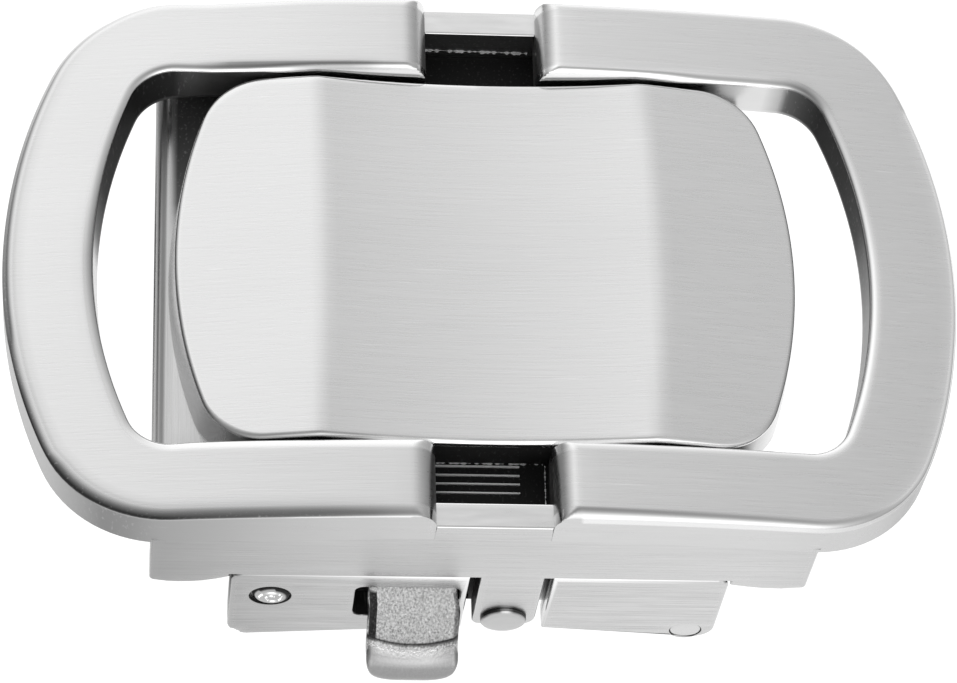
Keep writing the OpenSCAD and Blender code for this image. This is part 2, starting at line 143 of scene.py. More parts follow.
def brushed_group():
    """Node group of brushed metal. Noise drawn out along the first axis gives long streaks; a
    finer one gives the grain, and a third, cut off high, a few fine scratches. Shade, from the
    mesh, is painted light: it darkens the tone for painted shade and dark reflections, and
    brightens it for painted highlights where it is below nil; the darker parts also get bright
    specks and a rougher surface. Polish, from the mesh, smooths the edges where buffing has taken
    the grain away."""
    group = bpy.data.node_groups.new("brushed_metal", "ShaderNodeTree")
    for label, kind, value in (
        ("Vector", "NodeSocketVector", None), ("Base", "NodeSocketFloat", 0.6),
        ("Rough", "NodeSocketFloat", 0.3), ("Edge Rough", "NodeSocketFloat", 0.12),
        ("Depth", "NodeSocketFloat", 0.1), ("Polish", "NodeSocketFloat", 0.0),
        ("Shade", "NodeSocketFloat", 0.0), ("Vary", "NodeSocketFloat", 0.16),
        ("Pebble", "NodeSocketFloat", 0.0),
    ):
        socket = group.interface.new_socket(label, in_out="INPUT", socket_type=kind)
        if value is not None:
            socket.default_value = value
    for label, kind in (("Tone", "NodeSocketColor"), ("Roughness", "NodeSocketFloat"),
                        ("Normal", "NodeSocketVector")):
        group.interface.new_socket(label, in_out="OUTPUT", socket_type=kind)
    add, link = group.nodes.new, group.links.new
    inp, out = add("NodeGroupInput"), add("NodeGroupOutput")

    def noise(stretch, detail, rough):
        """Noise over the object, its axes weighed by stretch."""
        turn = add("ShaderNodeMapping")
        turn.inputs["Scale"].default_value = stretch
        tex = add("ShaderNodeTexNoise")
        tex.inputs["Scale"].default_value = 1.0
        tex.inputs["Detail"].default_value = detail
        tex.inputs["Roughness"].default_value = rough
        link(inp.outputs["Vector"], turn.inputs["Vector"])
        link(turn.outputs["Vector"], tex.inputs["Vector"])
        return tex.outputs["Fac"]

    def calc(op, a, b, clamp=False):
        """Maths node on two sockets or numbers."""
        node = add("ShaderNodeMath")
        node.operation = op
        node.use_clamp = clamp
        for i, v in enumerate((a, b)):
            if isinstance(v, (int, float)):
                node.inputs[i].default_value = v
            else:
                link(v, node.inputs[i])
        return node.outputs[0]

    shade, polish, pebble = (inp.outputs[k] for k in ("Shade", "Polish", "Pebble"))
    satin = calc("SUBTRACT", 1.0, polish, True)
    streak = noise((110, 5200, 5200), 3.0, 0.6)
    grain = noise((420, 16000, 16000), 2.0, 0.5)
    cloud = noise((60, 160, 160), 2.0, 0.5)
    scratch = noise((160, 9000, 9000), 1.0, 0.4)
    pits = noise((5200, 5200, 5200), 2.0, 0.55)
    grit = noise((5000, 5000, 5000), 3.0, 0.6)

    both = calc("ADD", calc("MULTIPLY", streak, 0.6), calc("MULTIPLY", grain, 0.4))
    brushing = calc("SUBTRACT", both, 0.5)
    vary = calc("MULTIPLY", brushing, calc("MULTIPLY", satin, inp.outputs["Vary"]))
    drift = calc("MULTIPLY", calc("SUBTRACT", cloud, 0.5), 0.05)
    lines = calc("MULTIPLY", calc("MULTIPLY", calc("SUBTRACT", scratch, 0.73), 9.0, True), 0.10)
    dark_pits = calc("MULTIPLY", calc("SUBTRACT", grit, 0.5), calc("MULTIPLY", pebble, 1.3))
    tone = calc("ADD", inp.outputs["Base"], calc("ADD", vary, calc("ADD", drift, lines)))
    tone = calc("ADD", tone, calc("MULTIPLY", dark_pits, satin))
    # Painted shade and highlight: the mesh's shade scales the tone down, or up where below nil.
    lit = calc("SUBTRACT", 1.0, shade)
    tone = calc("MULTIPLY", tone, lit)

    half_dark = calc("SUBTRACT", shade, 0.56, True)
    amount = calc("MULTIPLY", half_dark, calc("SUBTRACT", 1.0, shade, True))
    specks = calc("MULTIPLY", calc("SUBTRACT", pits, 0.60), 9.0, True)
    tone = calc("ADD", tone, calc("MULTIPLY", specks, calc("MULTIPLY", amount, 2.6)), True)
    mix = add("ShaderNodeCombineColor")
    for i in range(3):
        link(tone, mix.inputs[i])
    link(mix.outputs[0], out.inputs["Tone"])

    rough = calc("ADD", inp.outputs["Rough"], calc("MULTIPLY", brushing, 0.25))
    dull = calc("MULTIPLY", calc("SUBTRACT", shade, 0.4), 0.9, True)
    blend = add("ShaderNodeMix")
    link(polish, blend.inputs["Factor"])
    link(rough, blend.inputs["A"])
    link(inp.outputs["Edge Rough"], blend.inputs["B"])
    link(calc("ADD", blend.outputs["Result"], dull, True), out.inputs["Roughness"])

    relief = add("ShaderNodeBump")
    relief.inputs["Distance"].default_value = 0.00016
    link(calc("MULTIPLY", pebble, satin), relief.inputs["Strength"])
    link(grit, relief.inputs["Height"])
    bump = add("ShaderNodeBump")
    bump.inputs["Distance"].default_value = 0.00002
    link(calc("MULTIPLY", inp.outputs["Depth"], satin), bump.inputs["Strength"])
    link(both, bump.inputs["Height"])
    link(relief.outputs["Normal"], bump.inputs["Normal"])
    link(bump.outputs["Normal"], out.inputs["Normal"])
    return group


BRUSHED = brushed_group()


def brushed(name, base, rough, stretch=(1, 1, 0.3), depth=0.5, vary=0.16, pebble=0.0, turn=0.0):
    """Metal finished with the brushed group. Stretch weighs the object's axes, so that on an
    arched front the streaks run on along the arch instead of breaking up. Turn, in degrees about
    Z, sets the way that the streaks run."""
    mat = bpy.data.materials.new(name)
    mat.use_nodes = True
    add, link = mat.node_tree.nodes.new, mat.node_tree.links.new
    shader = mat.node_tree.nodes["Principled BSDF"]
    shader.inputs["Metallic"].default_value = 1.0
    where = add("ShaderNodeTexCoord")
    weigh = add("ShaderNodeMapping")
    weigh.inputs["Scale"].default_value = stretch
    weigh.inputs["Rotation"].default_value = (0, 0, math.radians(turn))
    grain = add("ShaderNodeGroup")
    grain.node_tree = BRUSHED
    for label, value in (("Base", base), ("Rough", rough), ("Depth", depth), ("Vary", vary),
                         ("Pebble", pebble)):
        grain.inputs[label].default_value = value
    link(where.outputs["Object"], weigh.inputs["Vector"])
    link(weigh.outputs["Vector"], grain.inputs["Vector"])
    # The mesh's polish, and its shade, which paints shade and highlights, feed the group.
    for label in ("polish", "shade"):
        mark = add("ShaderNodeAttribute")
        mark.attribute_name = label
        link(mark.outputs["Fac"], grain.inputs[label.capitalize()])
    link(grain.outputs["Tone"], shader.inputs["Base Color"])
    link(grain.outputs["Roughness"], shader.inputs["Roughness"])
    link(grain.outputs["Normal"], shader.inputs["Normal"])
    return mat


frame_satin = brushed("frame_satin", 0.73, 0.30)


def tint(at, *keys):
    """Value at a place, read off a short table of places and values, straight in between."""
    place, value = np.array(keys, float).T
    return np.interp(at, place, value)


def near_painted_shade(x):
    """Painted shade of the faces towards -Y: darker to the left, where the light falls off,
    and darker again at the right end.
    """
    return tint(x, (-32, 0.4), (-29, 0.42), (-27, 0.52), (-25.5, 0.63), (-24, 0.6), (-22, 0.5),
                (-18, 0.42), (-14, 0.32), (-10, 0.24), (-6, 0.17), (0, 0.14), (10, 0.11),
                (18, 0.1), (24, 0.2), (28, 0.44), (32, 0.4))


def outer_line(side, inset=0.0):
    """Outline of half the ring, drawn in by an inset. The casting is slimmer than a true rounded
    outline at the far left corner, by up to 0.3 mm in Y, and at the right end, by 0.25 mm in X."""
    line = half_outline(RING, -inset, BAR_POINTS, (14, 16, 24))
    x, y = line.T
    if side < 0:
        slim = tint(x, (6, 0.04), (12, 0.04), (15.5, 0.2), (18.7, 0.3), (22.8, 0.17), (25.6, 0.25),
                    (28.5, 0.15), (31, 0)) * np.clip(y / 8, 0, 1)
        return line - np.column_stack((0 * x, slim))
    slim = np.clip((x - 24) / 4, 0, 1) * tint(y, (-18, 0.08), (-12, 0.14), (-6, 0.25))
    return line - np.column_stack((slim, 0 * x))


def opening_line(inset=0.0):
    """Outline of half the opening, made larger by an inset."""
    return half_outline(OPENING, inset, BAR_POINTS, (14, 16, 24)) - (0, OPENING_SHIFT)


def ring_front(x, lowered=0.0):
    """Height of the front: the arch less a drop or, near the gap, the quarter circle in X and Z
    that the bar's end rolls down along, where that is lower."""
    roll = STRIP_Z + np.sqrt(np.clip(ROLL**2 - (ROLL_END - x) ** 2, 0, None))
    return np.where(x < ROLL_END, np.minimum(arch(x) - lowered, roll), arch(x) - lowered)


def ring_back(x):
    """Height of the back: an arch on the same axis, one thickness under the front."""
    return arch(x, ARCH_R - RING_T)


def outer_edge(x, y):
    """Rounding of the front's outer edge: how far it is drawn in, how far it is lowered, and how
    much of it is a flat chamfer. It is wider along the near bars, shallower to the left of the
    gap, and tight at the right end."""
    near_bar = np.clip(-y - 15, 0, 1) * tint(x, (5, 1), (22, 0.1), (25, 0))
    near_left = np.clip(-y - 6, 0, 1) * (x < 0)
    right_end = np.clip((x - 24) / 3, 0, 1)
    r = EDGE_R + 0.2 * near_bar - 0.28 * right_end
    d = EDGE_R + 0.15 * near_bar - 0.52 * near_left - 0.3 * right_end
    return r, d, 0.35 * near_bar


def outer_tones(side, x, y, on_roll):
    """Painted shade and highlight of the ring's outer side, and of the foot and the top of the
    rounding above it, where the light and its reflections are painted into the tone. They follow
    tables along X on the near bars, and along Y round the left end."""
    near = np.clip(0.5 - y / 8, 0, 1)
    far_tone = 0.12 + 0.32 * np.clip((-x - 25) / 3, 0, 1)
    # The side's painted shade, brought down to about the darker base of the walls below it.
    side_tone = 1 - (1 - near * near_painted_shade(x) - (1 - near) * far_tone) * 0.863
    lower = near * tint(x, (-24, 0.5), (-14, 0.3), (-12, -0.1), (-6, -0.3), (-4, -0.2), (4, 0),
                        (20, 0), (24, 0.2), (28, 0.36))
    upper = near * tint(x, (-32.5, 0.7), (-31, 0.93), (-22, 0.94), (-19, 0.85), (-11, 0.7),
                        (-8, 0.4), (-6, 0.1), (4, 0.1), (6, 0.2), (20, 0.05), (25, 0))
    if side < 0:
        end = np.clip((-x - 23) / 4, 0, 1)
        lower_end = tint(y, (-6, 0.85), (6, 0.8), (12, 0.6), (17, 0.3), (20, 0))
        lower = np.maximum(lower, end * lower_end)
        upper = np.maximum(upper, end * tint(y, (-6, 0.85), (8, 0.65), (14, 0.4), (18, 0.1)))
    else:
        end = np.clip((x - 25) / 3, 0, 1)
        lower = lower + 0.12 * end
        upper = upper * (1 - end) - 0.4 * end * (y < 13)
    return side_tone, np.where(on_roll, side_tone, lower), upper


def opening_tones(side, u):
    """Painted shade and highlight round the opening, at a share u of the way from the upper gap to
    the lower one, for the dark and bright reflections there: where its edge meets the front,
    where it meets the wall, the wall itself, and how far the wall behind the far bar is painted
    deep dark."""
    if side < 0:
        edge_front = tint(u, (0, 0), (0.04, 0.1), (0.07, 0.5), (0.2, 0.6), (0.24, 0.1), (0.3, 0),
                          (0.42, 0.1), (0.5, 0.3), (0.68, 0.2), (0.75, -0.1), (1, -0.2))
        edge_wall = tint(u, (0, 0.05), (0.13, 0), (0.17, -0.35), (0.22, -0.35), (0.27, -0.1),
                         (0.4, 0.1), (0.5, 0.4), (0.7, 0.2), (0.75, -0.3))
        wall = tint(u, (0, 0.1), (0.07, 0.2), (0.11, 0.4), (0.14, 0.55), (0.16, 0.7), (0.18, 0.8),
                    (0.215, 0.5), (0.24, 0.72), (0.26, 0.93), (0.31, 0.95), (0.41, 0.92),
                    (0.46, 0.72), (0.5, 0.35), (0.6, 0.2), (0.7, 0.1))
        return edge_front, edge_wall, wall, np.clip((0.15 - u) / 0.02, 0, 1)
    edge_front = tint(u, (0, -0.3), (0.25, -0.1), (0.28, 0.35), (0.32, 0.05), (0.5, -0.15),
                      (0.7, -0.2), (0.76, 0))
    edge_wall = tint(u, (0, 0), (0.13, 0), (0.18, -0.35), (0.24, -0.35), (0.27, 0.6), (0.33, 0.4),
                     (0.45, 0.2), (0.7, 0.15), (0.76, -0.1))
    wall = tint(u, (0.2, 0.05), (0.25, 0.1), (0.265, 0.8), (0.31, 0.95), (0.38, 0.93), (0.44, 0.88),
                (0.475, 0.75), (0.55, 0.62), (0.66, 0.6), (0.72, 0.4), (0.76, 0.1))
    return edge_front, edge_wall, wall, np.clip((0.17 - u) / 0.02, 0, 1)


def ring_half(side):
    """Half of the ring as rows of points, each the outline drawn in by an inset at one height:
    outer side, quarter round, front, quarter round, inner wall, back. A round at angle t is drawn
    in by r (1 - cos t) and lowered by d (1 - sin t). The left opening's wall leans in towards the
    front, by a share of 1 mm."""
    rows, polish, shade = [], [], []

    def put(xy, z, smooth, tone):
        """Add a row of points with its polish and shade."""
        rows.append(np.column_stack((xy, z)))
        polish.append(np.full(len(xy), smooth))
        shade.append(tone + 0 * xy[:, 0])

    line = outer_line(side)
    inward = outer_line(side, 1) - line
    r_out, d_out, flat = outer_edge(side * line[:, 0], line[:, 1])
    on_roll = line[:, 0] < ROLL_END - 0.02
    # Painted shade and highlights along the outer side and its rounded edge.
    side_tone, lower, upper = outer_tones(side, side * line[:, 0], line[:, 1], on_roll)
    put(line, ring_back(line[:, 0]), 0.0, side_tone)
    put(line, ring_front(line[:, 0], d_out + 0.15), 0.0, side_tone)
    for t in QUARTER:
        share = 2 * t / np.pi
        inset = r_out * ((1 - flat) * (1 - np.cos(t)) + flat * share)
        down = d_out * ((1 - flat) * (1 - np.sin(t)) + flat * (1 - share))
        if side < 0:
            climb, fade = t / 0.22, tint(share, (0.3, 1), (0.6, 0.75), (0.8, 0.45), (1, 0.2))
        else:
            climb, fade = (t - 0.5) / 0.6, 1
        f = np.clip(climb, 0, 1)
        xy = line + inward * inset[:, None]
        put(xy, ring_front(xy[:, 0], down), 0.4 if t in QUARTER[[0, -1]] else 0.8,
            lower * (1 - f) + upper * f * fade)
    outer = line + inward * r_out[:, None]

    hole = opening_line()
    run = np.concatenate(([0], np.cumsum(np.linalg.norm(np.diff(hole, axis=0), axis=1))))
    u = run / run[-1]
    edge_front, edge_wall, wall, hidden = opening_tones(side, u)
    # Painted dark line where the opening's edge meets its wall.
    foot = np.maximum(wall, tint(u, (0.27, 0), (0.31, 0.92), (0.68, 0.92), (0.74, 0)))
    d_in = tint(u, (0, 1.35), (0.11, 1.3), (0.165, 0.34))
    lean = (side < 0) * tint(u, (0.22, 0), (0.3, 0.36), (0.52, 0.33), (0.7, 0.2), (0.76, 0))
    lean = lean[:, None] * (opening_line(1) - hole)
    inner = opening_line(EDGE_R) + lean
    # Painted shade on the rolled ends of the bars near the gap, with a painted highlight on the
    # right.
    if side < 0:
        roll_tone = tint(hole[:, 0], (3.9, 0.55), (4.3, 0.38), (4.7, 0.2), (5.1, 0.06), (5.6, 0.1),
                         (5.75, 0))
    else:
        roll_tone = tint(hole[:, 0], (3.9, 0.45), (4.3, 0.28), (4.7, 0.15), (5.2, 0), (5.6, -0.14),
                         (5.75, 0))
    # Front rows take a little of the edges' painted shade, and the rolls' painted shade.
    for f, fade in ((0.03, 0.25), (0.08, 0.1), (0.2, 0), (0.35, 0), (0.5, 0), (0.65, 0), (0.8, 0),
                    (0.93, 0.1), (0.97, 0.3)):
        xy = outer * (1 - f) + inner * f
        put(xy, ring_front(xy[:, 0]), 0.0, fade * (upper if f < 0.5 else edge_front) + roll_tone)
    for t in QUARTER[::-1]:
        xy = opening_line(EDGE_R * (1 - np.cos(t))) + lean
        f = np.clip((np.degrees(t) - 30) / 30, 0, 1)
        put(xy, ring_front(xy[:, 0], d_in * (1 - np.sin(t))), 0.4 if t == QUARTER[-1] else 0.8,
            edge_wall * (1 - f) + edge_front * f if t > 0 else foot)
    top, bottom = ring_front(hole[:, 0], d_in), ring_back(hole[:, 0]) + BACK_R
    for f in (0.06, 0.12, 0.3, 0.42, 0.5, 0.7, 0.9):
        # Painted deep shade on the wall behind the far bar.
        deep = hidden * np.clip((f - 0.4) / 0.1, 0, 1)
        put(hole + lean * (1 - f), top * (1 - f) + bottom * f, 0.5,
            foot if f < 0.1 else wall * (1 - deep) + 0.95 * deep)
    for t in QUARTER[::4]:
        xy = opening_line(BACK_R * (1 - np.cos(t)))
        put(xy, ring_back(xy[:, 0]) + BACK_R * (1 - np.sin(t)), 0.8, wall * 0.7)
    last = rows[-1][:, :2]
    for f in (0.2, 0.4, 0.6, 0.8):
        xy = last * (1 - f) + line * f
        put(xy, ring_back(xy[:, 0]), 0.2, 0.1)

    n, m = len(rows), len(line)
    points = np.concatenate(rows) * (side, 1, 1)
    cut_end = points.reshape(n, m, 3)[:, [0, m - 1], 2]
    shade = np.array(shade)
    # Painted shade on the bars' cut ends in the gap, lighter towards the top on the right.
    shade[:, [0, m - 1]] = 0.88 if side < 0 else tint(cut_end, (6.2, 0.9), (7.0, 0.5), (7.7, 0.3))
    ends = [list(range(0, n * m, m)), list(range(m - 1, n * m, m))]
    name = "face_ring_left" if side < 0 else "face_ring_right"
    new_piece(name, points, grid_quads(n, m, close_rows=True) + ends, "frame", ["face_frame"],
              frame_satin,
              {"polish": np.concatenate(polish), "shade": shade.ravel()})


ring_half(-1)
ring_half(1)

# Side walls
# The two walls under the bars, cast in one with the ring, flush with its long sides. Each shows
# as a flat strip in the gap of its bar, has a hook at both ends, and a tab that carries the pin.


def unit(v):
    """Vectors in a plane, scaled to length 1."""
    return v / np.maximum(np.linalg.norm(v, axis=-1, keepdims=True), 1e-9)


def drawn_in(loop, d):
    """A closed line moved towards the metal by d: each point goes along the mitre of its two
    sides, which keeps the sides parallel to where they were."""
    before = unit(loop - np.roll(loop, 1, 0)) @ np.array([[0, 1], [-1, 0]])
    after = unit(np.roll(loop, -1, 0) - loop) @ np.array([[0, 1], [-1, 0]])
    mitre = (before + after) / np.maximum(1 + (before * after).sum(1), 0.4)[:, None]
    return loop + mitre * np.reshape(d, (-1, 1))


def signed_area(loop):
    """Area inside a closed line, positive where it runs anticlockwise."""
    x, y = loop.T
    return 0.5 * float(np.sum(x * np.roll(y, -1) - np.roll(x, -1) * y))


def within(points, loops):
    """Even-odd test: True where a ray from a point crosses the closed lines an odd number of
    times, so holes count as outside."""
    inside = np.zeros(len(points), bool)
    for loop in loops:
        a, b = loop[None], np.roll(loop, -1, 0)[None]
        p = points[:, None]
        cross = (a[..., 1] > p[..., 1]) != (b[..., 1] > p[..., 1])
        rise = np.where(b[..., 1] == a[..., 1], 1e-12, b[..., 1] - a[..., 1])
        at = a[..., 0] + (p[..., 1] - a[..., 1]) / rise * (b[..., 0] - a[..., 0])
        inside ^= (np.sum(cross & (p[..., 0] < at), 1) % 2).astype(bool)
    return inside


def slab_edge(loop, radius, level, towards, angles):
    """Rows of points round one edge of a slab: at angle t the outline is drawn in by r (1 - cos t)
    and set back from the level by r (1 - sin t). Returns the rows and their polish."""
    rows, polish = [], []
    for t in angles:
        across = level + towards * radius * (1 - math.sin(t))
        rows.append(np.column_stack((drawn_in(loop, radius * (1 - math.cos(t))), across)))
        polish.append(np.where(radius > 0.01, 1.0 if t < 1.4 else 0.6, 0.0))
    return rows, polish


def slab_grid(lines, spacing):
    """Square grid of points on a flat face, clear of the closed lines round it."""
    lowest, highest = lines[0].min(0) + spacing / 2, lines[0].max(0)
    grid = np.meshgrid(*(np.arange(lowest[q], highest[q], spacing) for q in (0, 1)))
    grid = np.column_stack([g.ravel() for g in grid])
    gaps = np.linalg.norm(grid[:, None] - np.concatenate(lines)[None], axis=2).min(1)
    return grid[within(grid, lines) & (gaps > 0.2 * spacing)]


def slab_face(lines, spots, index):
    """Triangles of a flat face with holes, over its closed lines and the spots inside. Index gives
    each point's number in the mesh."""
    sides, at = [], 0
    for line in lines:
        sides += [(at + q, at + (q + 1) % len(line)) for q in range(len(line))]
        at += len(line)
    spots = [Vector(p) for p in np.concatenate((*lines, spots))]
    out, _, tris, source, _, _ = delaunay_2d_cdt(spots, sides, [], 1, 1e-7)
    tris = np.array(tris)
    centre = np.array([list(v) for v in out])[tris].mean(1)
    lookup = np.array([index[s[0]] if s else -1 for s in source])
    kept = lookup[tris[within(centre, lines)]]
    return kept[(kept >= 0).all(1)].tolist()


def slab(loops, low, high, edge_low, edge_high, order=(0, 2, 1), steps=4, fill=0.0,
         long_rows=False):
    """Flat piece with an outline and holes, cut across one axis from low to high, with rounded
    edges. An edge is one radius, or a list with a radius, or one for each point, for each outline.
    Fill is the spacing of a grid of points over the flat faces, for a tone that changes along
    them. Long_rows keeps the side's tone off its edges with a row of points close to each. Order
    names the axes that the two directions of the outline and the cut run along. Returns points,
    faces and polish."""
    loops = [np.asarray(l, float) for l in loops]
    loops = [l if (signed_area(l) > 0) == (i == 0) else l[::-1] for i, l in enumerate(loops)]
    quarter = np.radians(np.linspace(90, 0, steps + 1))
    points, faces, polish, rims = [], [], [], []
    start = 0
    for i, loop in enumerate(loops):
        n = len(loop)
        r_low, r_high = (np.broadcast_to(e[i] if isinstance(e, list) else e, n)
                         for e in (edge_low, edge_high))
        rings, marks = slab_edge(loop, r_low, low, 1, quarter)
        if long_rows:
            spare = np.column_stack((loop, low + r_low + 0.06))
            rings += [spare, np.column_stack((loop, np.full(n, high - r_low.max() - 0.1)))]
            marks += [np.zeros(n), np.zeros(n)]
        top_rings, top_marks = slab_edge(loop, r_high, high, -1, quarter[::-1])
        rings += top_rings
        points += rings
        polish += marks + top_marks
        k = len(rings)
        faces += [[start + c for c in quad] for quad in grid_quads(k, n)]
        rims.append((start + np.arange(n), start + (k - 1) * n + np.arange(n),
                     rings[0][:, :2], rings[-1][:, :2]))
        start += k * n
    for which, level in ((0, low), (1, high)):
        lines = [rim[2 + which] for rim in rims]
        index = np.concatenate([rim[which] for rim in rims])
        grid = slab_grid(lines, fill) if fill else np.empty((0, 2))
        points.append(np.column_stack((grid, np.full(len(grid), level))))
        polish.append(np.zeros(len(grid)))
        index = np.concatenate((index, start + np.arange(len(grid))))
        start += len(grid)
        faces += slab_face(lines, grid, index)
    points = np.concatenate(points)
    placed = np.empty_like(points)
    placed[:, order] = points
    return placed, faces, np.concatenate(polish)


def joined(*parts):
    """Several sets of points, faces and marks as one."""
    points, faces, marks, start = [], [], [], 0
    for p, f, m in parts:
        points.append(p)
        marks.append(m)
        faces += [[i + start for i in face] for face in f]
        start += len(p)
    return np.concatenate(points), faces, np.concatenate(marks)


WALL_LEFT, WALL_RIGHT, WALL_IN, WALL_OUT = -22.36, 21.9, 18.14, 20.0
SEAM = 0.012  # how far the walls stay behind the ring's long sides
INTO_RING = 0.5  # how far they reach up into the ring
HOOK_Z, HOOK_R = -1.05, 0.4
HOOK_LOW_LEFT = [[-21.2, -1.22], [-20.45, -1.28], [-19.6, -1.22], [-18.82, -1.09],
                 [-17.87, -0.76], [-17.01, -0.32]]
HOOK_LOW_RIGHT = [[16.69, -0.6], [17.8, -0.88], [18.94, -1.07], [20.2, -1.12]]
TAB_LEFT, TAB_RIGHT, TAB_Z = -0.25, 4.05, -7.45
TAB_LEFT_R, TAB_RIGHT_R = 0.5, 1.0  # the tab's lower corners
CENTRE_PIN = (1.85, -6.33)  # X and Z of the pin through the tabs
PIN_BORE_R = 0.73  # bore for all three pins

# The walls have the ring's finish with a darker base than frame_satin: painted shade on these
# upright faces.
wall_satin = brushed("wall_satin", 0.60, 0.30, stretch=(1, 0.12, 1.8), vary=0.4)


def circle(centre, radius, steps):
    """Closed circle of points in X and Z."""
    return arc(*centre, radius, 0, 360, steps)[:-1]


def wall_outline():
    """Wall in X and Z: along the back of the ring's arch, down the right end to its hook, along
    the lower edge, round the tab, up the left end, and over the strip in the gap. The second
    result is the radius of its outer edges, nil where the wall runs on into the ring."""
    right_x, left_x = np.linspace(GAP, WALL_RIGHT, 12), np.linspace(WALL_LEFT, -GAP, 12)
    right = np.column_stack((right_x, ring_back(right_x) + INTO_RING))
    left = np.column_stack((left_x, ring_back(left_x) + INTO_RING))
    end_z = 2.5
    parts = [
        (right, 0.0),
        ([[WALL_RIGHT, right[-1, 1]], [WALL_RIGHT, end_z]], 0.32),
        (arc(WALL_RIGHT - HOOK_R, HOOK_Z + HOOK_R, HOOK_R, 0, -85, 6), 0.3),
        (HOOK_LOW_RIGHT[::-1], 0.15),
        ([[HOOK_LOW_RIGHT[0][0], 0], [TAB_RIGHT, 0]], 0.12),
        (arc(TAB_RIGHT - TAB_RIGHT_R, TAB_Z + TAB_RIGHT_R, TAB_RIGHT_R, 0, -90, 8), 0.2),
        (arc(TAB_LEFT + TAB_LEFT_R, TAB_Z + TAB_LEFT_R, TAB_LEFT_R, -90, -180, 6), 0.2),
        ([[TAB_LEFT, 0], [HOOK_LOW_LEFT[-1][0], 0]], 0.12),
        (HOOK_LOW_LEFT[::-1], 0.15),
        (arc(WALL_LEFT + HOOK_R, HOOK_Z + HOOK_R, HOOK_R, -95, -180, 6), 0.18),
        ([[WALL_LEFT, end_z], [WALL_LEFT, left[0, 1]]], 0.18),
        (left[1:], 0.0),
        ([[-GAP, STRIP_Z], [GAP, STRIP_Z]], 0.15),
    ]
    line = np.concatenate([np.asarray(p, float) for p, _ in parts])
    radius = np.concatenate([np.full(len(p), r) for p, r in parts])
    return (line, radius) if signed_area(line) > 0 else (line[::-1], radius[::-1])


def wall_tone(x, y, z):
    """Painted shade and highlight of the walls: the near face with the same painted shade as the
    ring's side, painted shade inside the gap, painted highlights on the strips in the gap, and
    painted shade on the near wall's two ends and on the tab's left edge."""
    near, depth = y < 0, np.abs(y)
    shade = np.where(y < -WALL_OUT + 0.5, near_painted_shade(x), 0.1)
    in_gap = (depth < WALL_IN + 0.2) & (z > 4.4) & (np.abs(x) < 6)
    shade = np.where(in_gap, np.where(y > 0, 0.76, 0.9), shade)
    strip_flat = (depth < WALL_OUT - SEAM - 0.14) & (depth > WALL_IN + 0.14)
    # The strips' rounded edges are painted brighter than their flat faces, as highlights.
    strip_tone = np.where(strip_flat | (y > WALL_OUT - 0.3), -0.24, -0.6)
    on_strip = (depth < WALL_OUT + 0.05) & (z > STRIP_Z - 0.06) & (np.abs(x) < 4.5)
    shade = np.where(on_strip, strip_tone, shade)
    shade = np.where(near & (x > WALL_RIGHT - 0.2), 0.25, shade)
    shade = np.where(near & (x < WALL_LEFT + 0.1), 0.55, shade)
    tab_edge = (np.abs(x - TAB_LEFT + 0.025) < 0.075) & (z < -0.05) & (y > -WALL_OUT + 0.08)
    return np.where(near & tab_edge, 0.93, shade)


line, radius = wall_outline()
bore = circle(CENTRE_PIN, PIN_BORE_R, 24)
outer_edges, inner_edges, far_edges = [radius, 0.05], [radius, 0.05], [radius * 0.4, 0.05]
points, faces, polish = joined(
    slab([line, bore], SEAM - WALL_OUT, -WALL_IN, outer_edges, inner_edges, fill=1.1,
         long_rows=True),
    slab([line, bore], WALL_IN, WALL_OUT - SEAM, inner_edges, far_edges, fill=1.1,
         long_rows=True))
new_piece("side_walls", points, faces, "frame", ["face_frame"], wall_satin,
          {"polish": polish, "shade": wall_tone(*points.T)})

# Web
# The floor between the walls that the plate sits on. It is part of the casting: arched in front,
# flat behind, with a rolled left edge, a fine groove beside it, and four moulded ribs in the gap.

WEB_RIGHT, WEB_FRONT, WEB_BACK = 18.5, 4.65, 2.1
GROOVE_X = -21.4  # where the groove beside the rolled left edge starts
LIP_R = 0.4  # radius of the rolled edge
RIB_Y = (-14.0, -14.66, -15.3, -15.96)
RIB_LEFT, RIB_RIGHT, RIB_FOOT, RIB_TOP = -3.8, 2.05, 4.5, 4.76

web_satin = brushed("web_satin", 0.62, 0.26, stretch=(1, 1, 1), depth=0.4, vary=0.35, turn=90)
# Pale, half metallic finish for the seams and ribs; with a shade below nil it paints them bright.
bare_cast_painted_bright = brushed("bare_cast_painted_bright", 0.9, 0.6, stretch=(1, 1, 1), depth=0.3)
bare_cast_painted_bright.node_tree.nodes["Principled BSDF"].inputs["Metallic"].default_value = 0.35


def web_front(x):
    """Height of the web's front face, on the same axis as the ring's arch."""
    return arch(x, ARCH_R - CROWN + WEB_FRONT)


def web_tone(x, y):
    """Painted shade of the web's front: nearly black under and beside the plate, lighter down the
    left face with a darker far end, and darker on the rolled edge with a painted bright line
    beside it."""
    corner = tint(y, (-14, 0.25), (-11, 0.05), (-6, 0.02), (0, 0.1), (2, 0.3), (4, 0.42),
                  (6.2, 0.75), (9, 0.82), (15, 0.88))
    edge = tint(y, (-18, 0.1), (4, 0.2), (14, 0.35))
    f = np.clip((x + 21.35) / 0.5, 0, 1)
    left = np.where(x < -17, edge * (1 - f) + corner * f, 0.93)
    left = np.where(x < -21.3, edge + 0.32 - 0.3 * (x > -21.5), left)
    return np.where(np.abs(x) < 15, 0.94, np.where(x < 0, left, 0.5))


